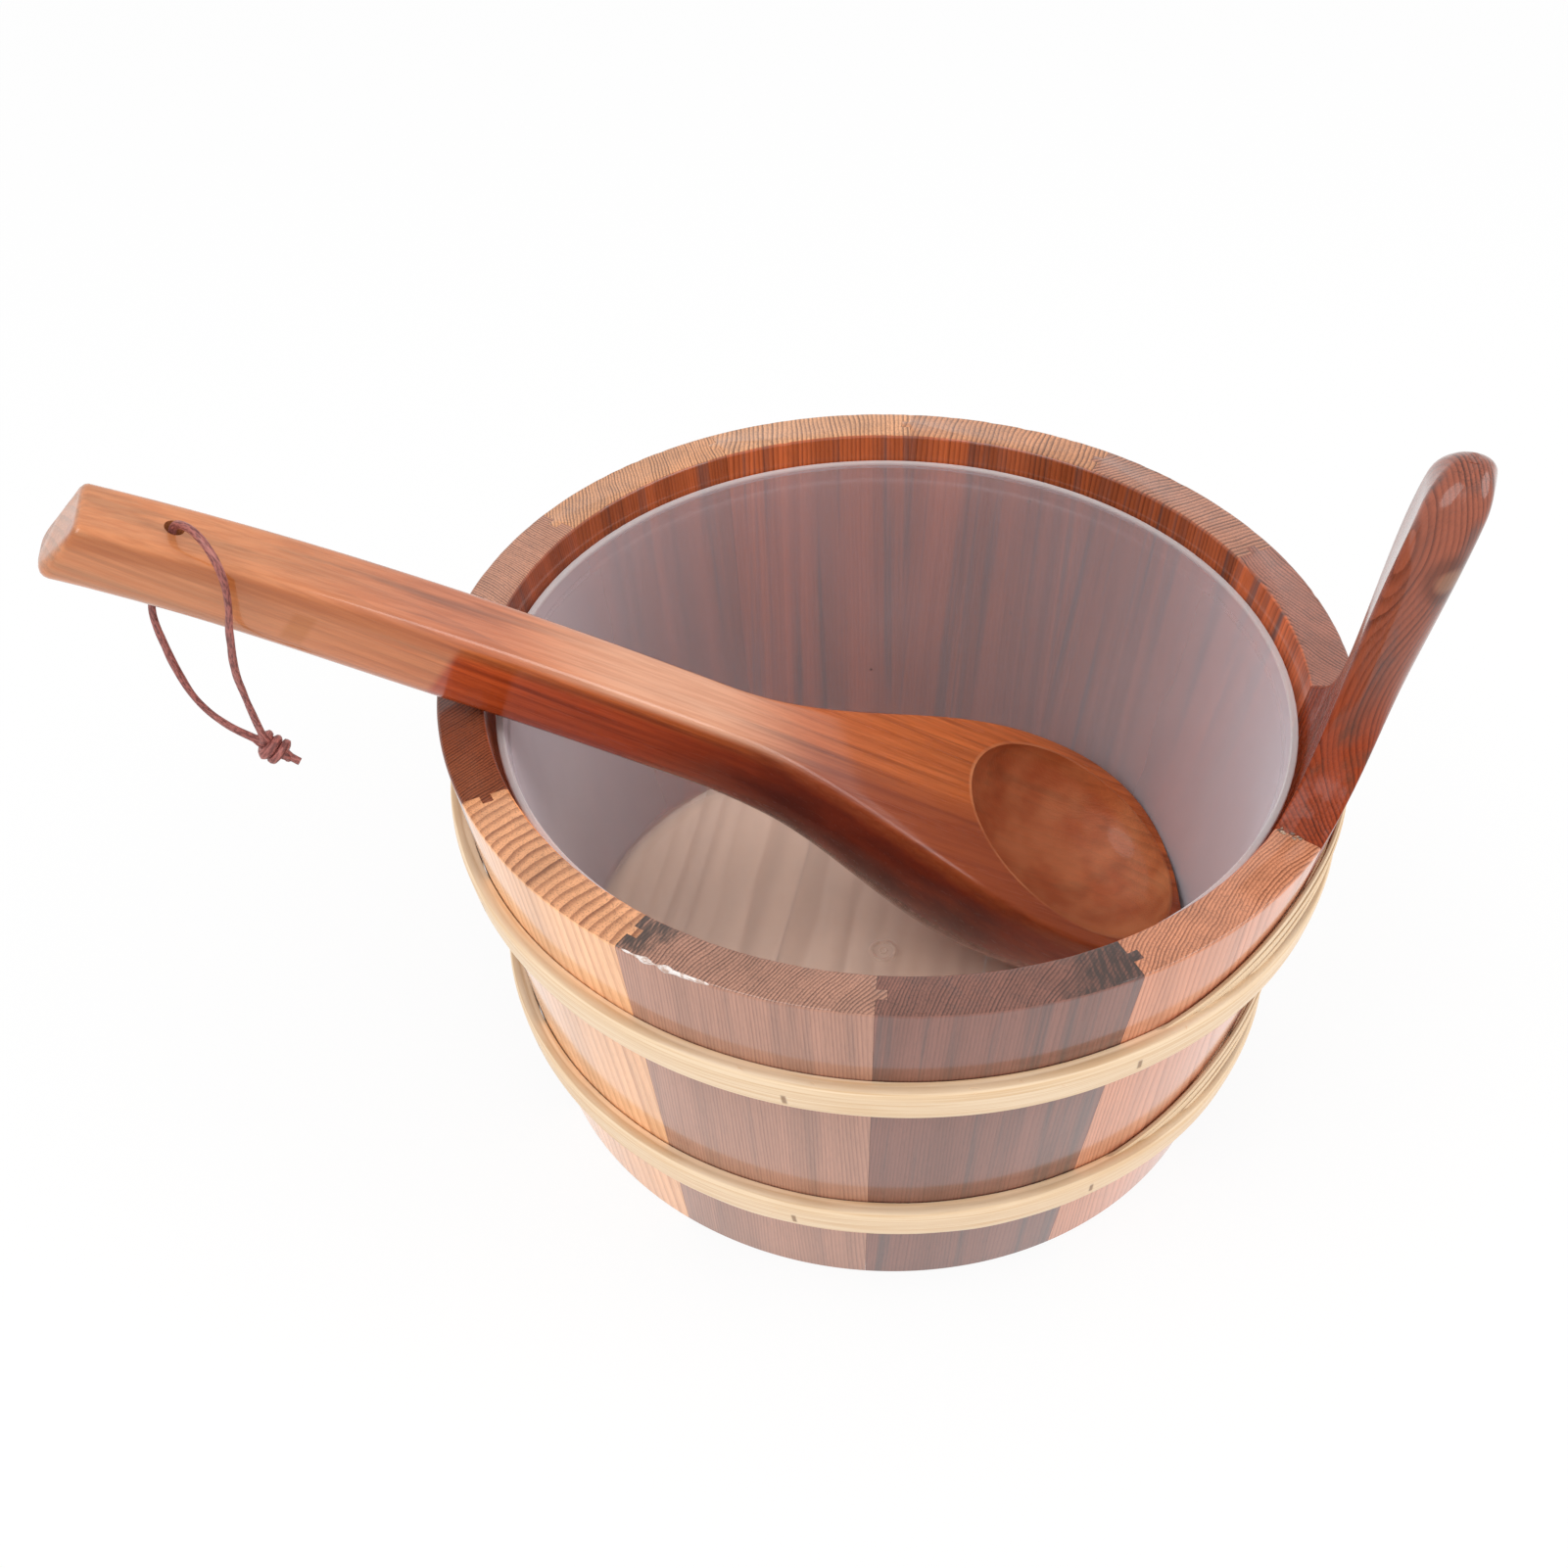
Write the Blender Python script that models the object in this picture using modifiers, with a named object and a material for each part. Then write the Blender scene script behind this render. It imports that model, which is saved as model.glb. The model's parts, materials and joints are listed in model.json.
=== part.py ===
"""Sauna bucket: coopered tub, split-rattan hoops, lift-out liner, and a ladle with a cord loop.

Metres, +Z up. The tub's axis is the Z axis and its stave ends stand on z = 0.
"""

import math

import bmesh
import bpy
from mathutils import Euler, Matrix, Vector

MM = 0.001

# Clearances
FIT_GAP = 0.3 * MM
REST_GAP = 0.4 * MM

# Tub
RIM_RADIUS = 130.0 * MM
FOOT_RADIUS = 107.4 * MM
TUB_HEIGHT = 142.0 * MM
WALL = 13.1 * MM
STAVE_COUNT = 12
STAVE_ARC_STEPS = 5
FIRST_JOINT = math.radians(-0.6)
RIM_ROUND = 1.0 * MM
TONGUE_THICKNESS = 3.6 * MM
TONGUE_REACH = 3.0 * MM

# Base
BASE_RECESS = 9.0 * MM
BASE_THICKNESS = 10.5 * MM
CROZE_DEPTH = 2.2 * MM
BASE_BOARDS = 3
GRAIN_TURN = math.radians(82.0)

# Grip of the long stave
GRIP_HEIGHT = 101.0 * MM
GRIP_WAIST = 11.5 * MM
GRIP_WAIST_HEIGHT = 37.0 * MM
GRIP_HEAD = 16.2 * MM
GRIP_HEAD_HEIGHT = 78.0 * MM
GRIP_ROUND = 4.0 * MM
GRIP_THICKENING = 2.4 * MM
GRIP_TOP_ROUND = 9.0 * MM
GRIP_TOP_HALF_WIDTH = 1.5 * MM
GRIP_FLARE = 2.6
STAVE_ROUND = 0.6 * MM
GRIP_RINGS = 22
CORNER_STEPS = 4

# Hoops
UPPER_HOOP_HEIGHT = 105.5 * MM
LOWER_HOOP_HEIGHT = 39.0 * MM
OUTER_STRIP_WIDTH = 12.5 * MM
OUTER_STRIP_THICKNESS = 2.8 * MM
INNER_STRIP_WIDTH = 9.0 * MM
INNER_STRIP_THICKNESS = 1.4 * MM
INNER_STRIP_RISE = 20.0 * MM
OUTER_STRIP_DIP = 3.0 * MM
OUTER_STRIP_BOW = 3.2 * MM
INNER_STRIP_BOW = 1.2 * MM
PARTING_CENTRE = math.radians(8.0)
PARTING_HALF_SPAN = math.radians(72.0)
PARTING_LENGTH = math.radians(42.0)
STRIP_BUTT = math.radians(100.0)
STRIP_POINTS = 73

# Liner
LINER_WALL = 1.4 * MM
LINER_RIM_DROP = 7.8 * MM
LINER_LIP_PLAY = 1.5 * MM
LINER_LIP_THICKNESS = 2.0 * MM
LINER_NECK_PLAY = 2.9 * MM
LINER_FLOOR_PLAY = 0.8 * MM
LINER_FLOOR_ROUND = 5.0 * MM
LINER_STEP_DROP = 6.0 * MM
LINER_STEP = 0.8 * MM
MOULD_RING_RADIUS = 4.0 * MM
MOULD_RING_HEIGHT = 0.4 * MM
MOULD_RING_FOOT = 1.0 * MM
MOULD_RING_CREST = 0.3 * MM
LIP_ARRIS = 0.4 * MM
TURN_STEPS = STAVE_COUNT * STAVE_ARC_STEPS

# Ladle, with the places of its bowl and neck measured back from the tip
LADLE_LENGTH = 362.0 * MM
LADLE_NECK_START = LADLE_LENGTH - 170.0 * MM
LADLE_REFERENCE = LADLE_LENGTH - 155.0 * MM
LADLE_DEEPENS_AT = LADLE_LENGTH - 146.0 * MM
BOWL_DEEPEST_AT = LADLE_LENGTH - 66.0 * MM
LADLE_BOWL_AT = LADLE_LENGTH - 43.0 * MM
HOLLOW_AT = LADLE_LENGTH - 42.5 * MM
LADLE_TURN = math.radians(12.95)
LADLE_SLOPE = math.radians(32.8)
LADLE_ROLL = math.radians(6.5)
LADLE_SIDE_SHIFT = 2.9 * MM
LADLE_BEND = 0.2334
LADLE_BEND_EASE = -2.917
HANDLE_END_WIDTH = 7.2 * MM
HANDLE_NECK_WIDTH = 8.4 * MM
BOWL_HALF_WIDTH = 42.0 * MM
TIP_HALF_WIDTH = 4.0 * MM
TIP_SQUARENESS = 2.5
HANDLE_ARRIS = 2.7 * MM
BOWL_ARRIS = 1.4 * MM
HANDLE_SQUARENESS = 4.5
BOWL_SQUARENESS = 2.6
HANDLE_END_DEPTH = 21.8 * MM
HANDLE_DEPTH = 26.0 * MM
BOWL_DEPTH = 38.2 * MM
TIP_DEPTH = 10.0 * MM
END_ROUND = 4.0 * MM
LADLE_RINGS = 30
BOWL_CROWDING = 0.55
LADLE_WALL_PLAY = 0.8 * MM
SETTLE_SAMPLES = 6
SETTLE_ROUNDS = 70
SETTLE_EASE = 0.6
SETTLE_STRIDE = 6.0 * MM
SECTION_STEPS = 14
HOLLOW_LENGTH = 39.5 * MM
HOLLOW_WIDTH = 37.0 * MM
HOLLOW_DEPTH = 25.0 * MM
CORD_HOLE_AT = 30.0 * MM
CORD_HOLE_RADIUS = 2.6 * MM

# Cord
CORD_RADIUS = 1.0 * MM
CORD_POINT_COUNT = 54
CORD_TAIL = 8.3 * MM
CORD_OVER_HOLE = 2.2 * MM
CORD_IN_HOLE = 4.0 * MM
KNOT_HANG = Vector((13.1, -1.7, -71.7)) * MM
KNOT_SLOPE = math.radians(35.0)
KNOT_GAP = 0.5 * MM
KNOT_RADIUS = 2 * CORD_RADIUS + KNOT_GAP
KNOT_PITCH = 2 * CORD_RADIUS + KNOT_GAP + FIT_GAP
KNOT_TURNS = 2.4
KNOT_START = math.radians(-20.0)
KNOT_POINTS = 31


def clear_scene():
    for obj in list(bpy.data.objects):
        bpy.data.objects.remove(obj, do_unlink=True)


def collection(name):
    made = bpy.data.collections.new(name)
    bpy.context.scene.collection.children.link(made)
    return made


def material(name, colour, roughness, metallic=0.0):
    made = bpy.data.materials.new(name)
    made.use_nodes = True
    shader = made.node_tree.nodes["Principled BSDF"]
    shader.inputs["Base Color"].default_value = (*colour, 1.0)
    shader.inputs["Roughness"].default_value = roughness
    shader.inputs["Metallic"].default_value = metallic
    return made


def add_object(name, mesh, home, surface=None, smooth=False):
    obj = bpy.data.objects.new(name, mesh)
    home.objects.link(obj)
    if surface:
        mesh.materials.append(surface)
    for polygon in mesh.polygons:
        polygon.use_smooth = smooth
    return obj


def finish_mesh(name, work):
    bmesh.ops.recalc_face_normals(work, faces=work.faces)
    mesh = bpy.data.meshes.new(name)
    work.to_mesh(mesh)
    work.free()
    return mesh


def outer_radius(height):
    return FOOT_RADIUS + (RIM_RADIUS - FOOT_RADIUS) * height / TUB_HEIGHT


def inner_radius(height):
    return outer_radius(height) - WALL


def sector_mesh(name, profile, start, end, steps):
    """A flat (radius, height) profile swung about Z from one angle to another."""
    work = bmesh.new()
    swing = Matrix.Rotation(start, 3, "Z")
    corners = [work.verts.new(swing @ Vector((r, 0.0, z))) for r, z in profile]
    face = work.faces.new(corners)
    geometry = list(face.verts) + list(face.edges) + [face]
    bmesh.ops.spin(
        work, geom=geometry, cent=(0, 0, 0), axis=(0, 0, 1), angle=end - start, steps=steps
    )
    bmesh.ops.remove_doubles(work, verts=work.verts, dist=1e-6)
    return finish_mesh(name, work)


def loft_mesh(name, rings):
    """Quads between rings of equal count, with a flat cap on the first and the last ring."""
    work = bmesh.new()
    loops = [[work.verts.new(point) for point in ring] for ring in rings]
    count = len(loops[0])
    for lower, upper in zip(loops, loops[1:]):
        for i in range(count):
            j = (i + 1) % count
            work.faces.new((lower[i], lower[j], upper[j], upper[i]))
    work.faces.new(loops[0])
    work.faces.new(loops[-1])
    return finish_mesh(name, work)


def combine(obj, tool, operation):
    """Adds one Boolean and hides its tool."""
    tool.hide_render = True
    tool.display_type = "WIRE"
    modifier = obj.modifiers.new(tool.name, "BOOLEAN")
    modifier.operation = operation
    modifier.solver = "EXACT"
    modifier.object = tool


def smoothstep(value):
    value = min(max(value, 0.0), 1.0)
    return value * value * (3.0 - 2.0 * value)


def wall_profile():
    """Cross-section of a short stave, with the croze and the rounded rim arrises."""
    croze_low = BASE_RECESS - FIT_GAP
    croze_high = BASE_RECESS + BASE_THICKNESS + FIT_GAP
    croze = croze_radius()
    outline = [
        (inner_radius(0.0), 0.0),
        (outer_radius(0.0), 0.0),
        (outer_radius(TUB_HEIGHT - RIM_ROUND), TUB_HEIGHT - RIM_ROUND),
        (outer_radius(TUB_HEIGHT) - 0.3 * RIM_ROUND, TUB_HEIGHT - 0.3 * RIM_ROUND),
        (outer_radius(TUB_HEIGHT) - RIM_ROUND, TUB_HEIGHT),
        (inner_radius(TUB_HEIGHT) + RIM_ROUND, TUB_HEIGHT),
        (inner_radius(TUB_HEIGHT) + 0.3 * RIM_ROUND, TUB_HEIGHT - 0.3 * RIM_ROUND),
        (inner_radius(TUB_HEIGHT - RIM_ROUND), TUB_HEIGHT - RIM_ROUND),
        (inner_radius(croze_high), croze_high),
        (croze, croze_high),
        (croze, croze_low),
        (inner_radius(croze_low), croze_low),
    ]
    return outline


def croze_radius():
    return inner_radius(BASE_RECESS + BASE_THICKNESS) + CROZE_DEPTH


def tongue_profile(clearance, low, high):
    """Middle band of the wall, which the tongues and, with clearance, the grooves follow."""
    inset = (WALL - TONGUE_THICKNESS) / 2 - clearance
    return [
        (inner_radius(low) + inset, low),
        (outer_radius(low) - inset, low),
        (outer_radius(high) - inset, high),
        (inner_radius(high) + inset, high),
    ]


def joint_angle(index):
    return FIRST_JOINT + 2 * math.pi * index / STAVE_COUNT


EDGE_TURN = 0.5 * FIT_GAP / inner_radius(0.0)
REACH_TURN = TONGUE_REACH / RIM_RADIUS
GAP_TURN = FIT_GAP / inner_radius(0.0)


def tongue_mesh(name, joint, side):
    """A tongue past the joint; side is +1 where it points to larger angles."""
    root = joint - side * 3 * REACH_TURN
    tip = joint + side * (REACH_TURN - EDGE_TURN)
    profile = tongue_profile(0.0, REST_GAP, TUB_HEIGHT - REST_GAP)
    return sector_mesh(name, profile, min(root, tip), max(root, tip), 2)


def groove_mesh(name, joint, side, high):
    """The slot that takes a tongue pointing to larger (+1) or smaller (-1) angles."""
    root = joint - side * REACH_TURN
    tip = joint + side * (REACH_TURN - EDGE_TURN + GAP_TURN)
    profile = tongue_profile(FIT_GAP, -WALL, high)
    return sector_mesh(name, profile, min(root, tip), max(root, tip), 2)


def build_staves(parts, cutters, surfaces):
    """Eleven short staves; the long one takes a tongue on both of its edges."""
    above = TUB_HEIGHT + WALL
    for number in range(1, STAVE_COUNT):
        start = joint_angle(number - 1)
        end = joint_angle(number)
        name = f"stave_{number:02d}"
        mesh = sector_mesh(
            name, wall_profile(), start + EDGE_TURN, end - EDGE_TURN, STAVE_ARC_STEPS
        )
        stave = add_object(name, mesh, parts, surfaces[number % len(surfaces)])
        tongue = add_object(f"{name}_tongue_tool", tongue_mesh(name, end, 1), cutters)
        combine(stave, tongue, "UNION")
        if number == 1:
            other = add_object(f"{name}_tongue_back_tool", tongue_mesh(name, start, -1), cutters)
            combine(stave, other, "UNION")
        else:
            slot = groove_mesh(name, start, 1, above)
            combine(stave, add_object(f"{name}_groove_tool", slot, cutters), "DIFFERENCE")


def grip_half_width(rise, full):
    """Half width of the long stave at a height above the rim."""
    if rise <= 0.0:
        return full
    if rise < GRIP_WAIST_HEIGHT:
        left = 1.0 - rise / GRIP_WAIST_HEIGHT
        return GRIP_WAIST + (full - GRIP_WAIST) * left**GRIP_FLARE
    if rise < GRIP_HEAD_HEIGHT:
        along = (rise - GRIP_WAIST_HEIGHT) / (GRIP_HEAD_HEIGHT - GRIP_WAIST_HEIGHT)
        return GRIP_WAIST + (GRIP_HEAD - GRIP_WAIST) * smoothstep(along)
    along = (rise - GRIP_HEAD_HEIGHT) / (GRIP_HEIGHT - GRIP_HEAD_HEIGHT)
    return GRIP_HEAD * math.sqrt(max(1.0 - along * along, 0.0))


def grip_ring(height, middle):
    """Rounded section of the long stave, bent round the tub's axis."""
    rise = height - TUB_HEIGHT
    full = (math.pi / STAVE_COUNT - EDGE_TURN) * outer_radius(height)
    half = max(grip_half_width(rise, full), GRIP_TOP_HALF_WIDTH)
    corner = STAVE_ROUND + (GRIP_ROUND - STAVE_ROUND) * smoothstep(rise / GRIP_WAIST_HEIGHT)
    to_top = (TUB_HEIGHT + GRIP_HEIGHT - height) / GRIP_TOP_ROUND
    pinch = GRIP_ROUND * (1.0 - math.sqrt(max(1.0 - (1.0 - min(to_top, 1.0)) ** 2, 0.0)))
    swell = GRIP_THICKENING * smoothstep(rise / GRIP_HEAD_HEIGHT)
    thick = WALL + swell - 1.6 * pinch
    corner = min(corner, 0.45 * thick, 0.9 * half)
    flat = half - corner
    deep = thick / 2 - corner
    outline = []
    for quarter in range(4):
        sign_across = 1 if quarter in (0, 3) else -1
        sign_out = 1 if quarter in (0, 1) else -1
        for step in range(CORNER_STEPS + 1):
            turn = math.pi / 2 * (quarter + step / CORNER_STEPS)
            across = sign_across * flat + corner * math.cos(turn)
            out = sign_out * deep + corner * math.sin(turn)
            outline.append((across, out))
        if quarter in (0, 2):
            for step in range(1, STAVE_ARC_STEPS):
                share = 1.0 - 2.0 * step / STAVE_ARC_STEPS
                outline.append((sign_across * flat * share, sign_out * thick / 2))
    ring = []
    centre = outer_radius(height) - (WALL + swell) / 2
    for across, out in outline:
        turn = middle + across / outer_radius(height)
        radius = centre + out
        ring.append(Vector((radius * math.cos(turn), radius * math.sin(turn), height)))
    return ring


def build_handle_stave(parts, cutters, surface):
    start = joint_angle(STAVE_COUNT - 1)
    end = joint_angle(STAVE_COUNT)
    middle = (start + end) / 2
    heights = [0.0, TUB_HEIGHT / 2, TUB_HEIGHT]
    for step in range(1, GRIP_RINGS + 1):
        share = math.sin(math.pi / 2 * step / GRIP_RINGS)
        heights.append(TUB_HEIGHT + GRIP_HEIGHT * share)
    mesh = loft_mesh("handle_stave", [grip_ring(height, middle) for height in heights])
    stave = add_object("handle_stave", mesh, parts, surface, smooth=True)
    top = TUB_HEIGHT + FIT_GAP
    for name, joint, side in (("front", start, 1), ("back", end, -1)):
        slot = groove_mesh(f"handle_{name}_groove", joint, side, top)
        tool = add_object(f"handle_{name}_groove_tool", slot, cutters)
        combine(stave, tool, "DIFFERENCE")
    low = BASE_RECESS - FIT_GAP
    high = BASE_RECESS + BASE_THICKNESS + FIT_GAP
    croze = croze_radius()
    profile = [(croze - 3 * WALL, low), (croze, low), (croze, high), (croze - 3 * WALL, high)]
    turn = math.pi / STAVE_COUNT / STAVE_ARC_STEPS
    cut = sector_mesh("handle_croze", profile, start - 2 * turn, end + 2 * turn, STAVE_ARC_STEPS + 2)
    combine(stave, add_object("handle_croze_tool", cut, cutters), "DIFFERENCE")


def build_base(parts, cutters, surface):
    """Three boards of one disc, whose facets line up with those of the croze."""
    radius = croze_radius() - FIT_GAP
    width = 2 * radius / BASE_BOARDS
    height = BASE_RECESS + BASE_THICKNESS / 2
    for index, name in enumerate(("left", "middle", "right")):
        board_name = f"base_board_{name}"
        work = bmesh.new()
        bmesh.ops.create_cone(
            work,
            cap_ends=True,
            segments=TURN_STEPS,
            radius1=radius,
            radius2=radius,
            depth=BASE_THICKNESS,
            matrix=Matrix.Translation((0, 0, height)) @ Matrix.Rotation(FIRST_JOINT, 4, "Z"),
        )
        board = add_object(board_name, finish_mesh(board_name, work), parts, surface)
        left_open = index == 0
        right_open = index == BASE_BOARDS - 1
        low = -2 * radius if left_open else (index - BASE_BOARDS / 2) * width + FIT_GAP / 2
        high = 2 * radius if right_open else (index + 1 - BASE_BOARDS / 2) * width - FIT_GAP / 2
        work = bmesh.new()
        bmesh.ops.create_cube(work, size=1.0)
        bmesh.ops.scale(work, vec=(high - low, 4 * radius, 3 * BASE_THICKNESS), verts=work.verts)
        bmesh.ops.translate(work, vec=((low + high) / 2, 0, height), verts=work.verts)
        turn = Matrix.Rotation(GRAIN_TURN - math.pi / 2, 4, "Z")
        bmesh.ops.transform(work, matrix=turn, verts=work.verts)
        tool = add_object(f"{board_name}_tool", finish_mesh(board_name, work), cutters)
        combine(board, tool, "INTERSECT")


def parting(turn):
    """How far the two turns of a hoop have parted: 1 at the handle side, 0 where one covers the other."""
    away = abs(math.remainder(turn - PARTING_CENTRE, 2 * math.pi))
    return smoothstep((PARTING_HALF_SPAN - away) / PARTING_LENGTH)


def inner_lift(turn):
    """Stand-off of an inner strip, which bows a little where the turns part."""
    return REST_GAP + INNER_STRIP_BOW * parting(turn)


def outer_lift(turn):
    """Stand-off of an outer strip: over the inner strip, and bowed where the turns part."""
    return REST_GAP + INNER_STRIP_THICKNESS + FIT_GAP + OUTER_STRIP_BOW * parting(turn)


def strip_mesh(name, height, width, thickness, lift, rise):
    """A split-rattan strip bent once round the tub, its ends butted at the back."""
    slope = math.atan2(RIM_RADIUS - FOOT_RADIUS, TUB_HEIGHT)
    half = width / 2
    profile = [
        (0.0, -half),
        (0.45 * thickness, -half),
        (0.85 * thickness, -0.7 * half),
        (thickness, 0.0),
        (0.85 * thickness, 0.7 * half),
        (0.45 * thickness, half),
        (0.0, half),
    ]
    butt = FIT_GAP / FOOT_RADIUS
    rings = []
    for step in range(STRIP_POINTS):
        turn = STRIP_BUTT + butt + (2 * math.pi - 2 * butt) * step / (STRIP_POINTS - 1)
        level = height + rise(turn)
        stand_off = lift(turn)
        ring = []
        for out, up in profile:
            z = level + up * math.cos(slope) - out * math.sin(slope)
            radius = outer_radius(level) + up * math.sin(slope) + (out + stand_off) / math.cos(slope)
            ring.append(Vector((radius * math.cos(turn), radius * math.sin(turn), z)))
        rings.append(ring)
    return loft_mesh(name, rings)


def build_hoops(parts, surface):
    """Each hoop is two turns: an inner strip on the wall and an outer strip over it."""
    for name, height in (("upper", UPPER_HOOP_HEIGHT), ("lower", LOWER_HOOP_HEIGHT)):
        inner = strip_mesh(
            f"{name}_hoop_inner",
            height,
            INNER_STRIP_WIDTH,
            INNER_STRIP_THICKNESS,
            inner_lift,
            lambda turn: INNER_STRIP_RISE * parting(turn),
        )
        add_object(f"{name}_hoop_inner", inner, parts, surface, smooth=True)
        outer = strip_mesh(
            f"{name}_hoop_outer",
            height,
            OUTER_STRIP_WIDTH,
            OUTER_STRIP_THICKNESS,
            outer_lift,
            lambda turn: -OUTER_STRIP_DIP * parting(turn),
        )
        add_object(f"{name}_hoop_outer", outer, parts, surface, smooth=True)


LINER_FLOOR_LOW = BASE_RECESS + BASE_THICKNESS + FIT_GAP
LINER_FLOOR_HIGH = LINER_FLOOR_LOW + LINER_WALL
LIP_TOP = TUB_HEIGHT - LINER_RIM_DROP
LIP_LOW = LIP_TOP - LINER_LIP_THICKNESS


def liner_outside(height):
    """Outer radius of the liner's wall, which stands off the tub a little more at the neck."""
    foot = inner_radius(LINER_FLOOR_LOW) - LINER_FLOOR_PLAY
    neck = inner_radius(LIP_LOW) - LINER_NECK_PLAY
    return foot + (neck - foot) * (height - LINER_FLOOR_LOW) / (LIP_LOW - LINER_FLOOR_LOW)


def liner_inside(height):
    return liner_outside(height) - LINER_WALL


def liner_profile():
    """Half section of the liner, from the middle of its floor up the inside and down the outside."""
    lip = inner_radius(LIP_TOP) - LINER_LIP_PLAY
    step = LIP_TOP - LINER_STEP_DROP
    bend = LINER_FLOOR_ROUND
    ring = MOULD_RING_RADIUS
    crest = LINER_FLOOR_HIGH + MOULD_RING_HEIGHT
    mould_mark = [
        (0.0, LINER_FLOOR_HIGH),
        (ring - MOULD_RING_FOOT, LINER_FLOOR_HIGH),
        (ring - MOULD_RING_CREST, crest),
        (ring + MOULD_RING_CREST, crest),
        (ring + MOULD_RING_FOOT, LINER_FLOOR_HIGH),
    ]
    inside_bend = [
        (liner_inside(LINER_FLOOR_HIGH) - bend, LINER_FLOOR_HIGH),
        (liner_inside(LINER_FLOOR_HIGH) - 0.3 * bend, LINER_FLOOR_HIGH + 0.3 * bend),
        (liner_inside(LINER_FLOOR_HIGH + bend), LINER_FLOOR_HIGH + bend),
    ]
    mouth = [
        (liner_inside(step), step),
        (liner_inside(step) + LINER_STEP, step + LINER_STEP),
        (liner_inside(LIP_TOP) + LINER_STEP, LIP_TOP),
        (lip - LIP_ARRIS, LIP_TOP),
        (lip, LIP_TOP - LIP_ARRIS),
        (lip, LIP_LOW),
        (liner_outside(LIP_LOW), LIP_LOW),
    ]
    outside_bend = [
        (liner_outside(LINER_FLOOR_LOW + bend), LINER_FLOOR_LOW + bend),
        (liner_outside(LINER_FLOOR_LOW) - 0.3 * bend, LINER_FLOOR_LOW + 0.3 * bend),
        (liner_outside(LINER_FLOOR_LOW) - bend, LINER_FLOOR_LOW),
        (0.0, LINER_FLOOR_LOW),
    ]
    return mould_mark + inside_bend + mouth + outside_bend


def build_liner(parts, surface):
    mesh = bpy.data.meshes.new("liner_profile")
    points = [(r, 0.0, z) for r, z in liner_profile()]
    mesh.from_pydata(points, [(i, i + 1) for i in range(len(points) - 1)], [])
    liner = add_object("liner", mesh, parts, surface)
    screw = liner.modifiers.new("turn", "SCREW")
    screw.axis = "Z"
    screw.angle = 2 * math.pi
    screw.steps = TURN_STEPS
    screw.render_steps = TURN_STEPS
    screw.use_merge_vertices = True
    screw.merge_threshold = 0.00005
    screw.use_smooth_shade = True


def ladle_angle(along):
    """Downward angle of the top line against the ladle's own X axis, at a length from the end."""
    past = along - LADLE_REFERENCE
    return LADLE_BEND * past + LADLE_BEND_EASE * past * past


def ladle_top(along):
    """Point of the top line in the ladle's own frame."""
    steps = 40
    point = Vector((0.0, 0.0, 0.0))
    size = (along - LADLE_REFERENCE) / steps
    for step in range(steps):
        angle = ladle_angle(LADLE_REFERENCE + size * (step + 0.5))
        point += Vector((math.cos(angle), 0.0, -math.sin(angle))) * size
    return point


def ladle_normal(along):
    angle = ladle_angle(along)
    return Vector((math.sin(angle), 0.0, math.cos(angle)))


def ladle_half_width(along):
    if along <= LADLE_BOWL_AT:
        handle = HANDLE_END_WIDTH + (HANDLE_NECK_WIDTH - HANDLE_END_WIDTH) * min(
            along / LADLE_NECK_START, 1.0
        )
        flare = smoothstep((along - LADLE_NECK_START) / (LADLE_BOWL_AT - LADLE_NECK_START))
        return handle + (BOWL_HALF_WIDTH - HANDLE_NECK_WIDTH) * flare
    past = (along - LADLE_BOWL_AT) / (LADLE_LENGTH - LADLE_BOWL_AT)
    share = max(1.0 - past**TIP_SQUARENESS, 0.0) ** (1.0 / TIP_SQUARENESS)
    return max(BOWL_HALF_WIDTH * share, TIP_HALF_WIDTH)


def ladle_depth(along):
    if along <= LADLE_DEEPENS_AT:
        share = smoothstep(along / (0.6 * LADLE_NECK_START))
        return HANDLE_END_DEPTH + (HANDLE_DEPTH - HANDLE_END_DEPTH) * share
    if along <= BOWL_DEEPEST_AT:
        share = smoothstep((along - LADLE_DEEPENS_AT) / (BOWL_DEEPEST_AT - LADLE_DEEPENS_AT))
        return HANDLE_DEPTH + (BOWL_DEPTH - HANDLE_DEPTH) * share
    past = (along - BOWL_DEEPEST_AT) / (LADLE_LENGTH - BOWL_DEEPEST_AT)
    return TIP_DEPTH + (BOWL_DEPTH - TIP_DEPTH) * math.sqrt(max(1.0 - past * past, 0.0))


def ladle_ring(along, inset):
    """Section of the ladle: flat top, rounded arrises, and an underside that goes from boxy to round."""
    toward_bowl = smoothstep((along - LADLE_NECK_START) / (LADLE_BOWL_AT - LADLE_NECK_START))
    arris = HANDLE_ARRIS + (BOWL_ARRIS - HANDLE_ARRIS) * toward_bowl
    squareness = HANDLE_SQUARENESS + (BOWL_SQUARENESS - HANDLE_SQUARENESS) * toward_bowl
    half = ladle_half_width(along) - inset
    wide = half + arris
    deep = ladle_depth(along) - 2 * inset
    base = ladle_top(along) - ladle_normal(along) * inset
    outline = [(half, 0.0), (half + 0.7 * arris, -0.3 * arris)]
    for step in range(SECTION_STEPS + 1):
        turn = math.pi * step / SECTION_STEPS
        across = math.copysign(abs(math.cos(turn)) ** (2.0 / squareness), math.cos(turn))
        down = math.sin(turn) ** (2.0 / squareness)
        outline.append((wide * across, -arris - (deep - arris) * down))
    outline += [(-half - 0.7 * arris, -0.3 * arris), (-half, 0.0)]
    up = ladle_normal(along)
    return [base + Vector((0.0, across, 0.0)) + up * rise for across, rise in outline]


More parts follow.
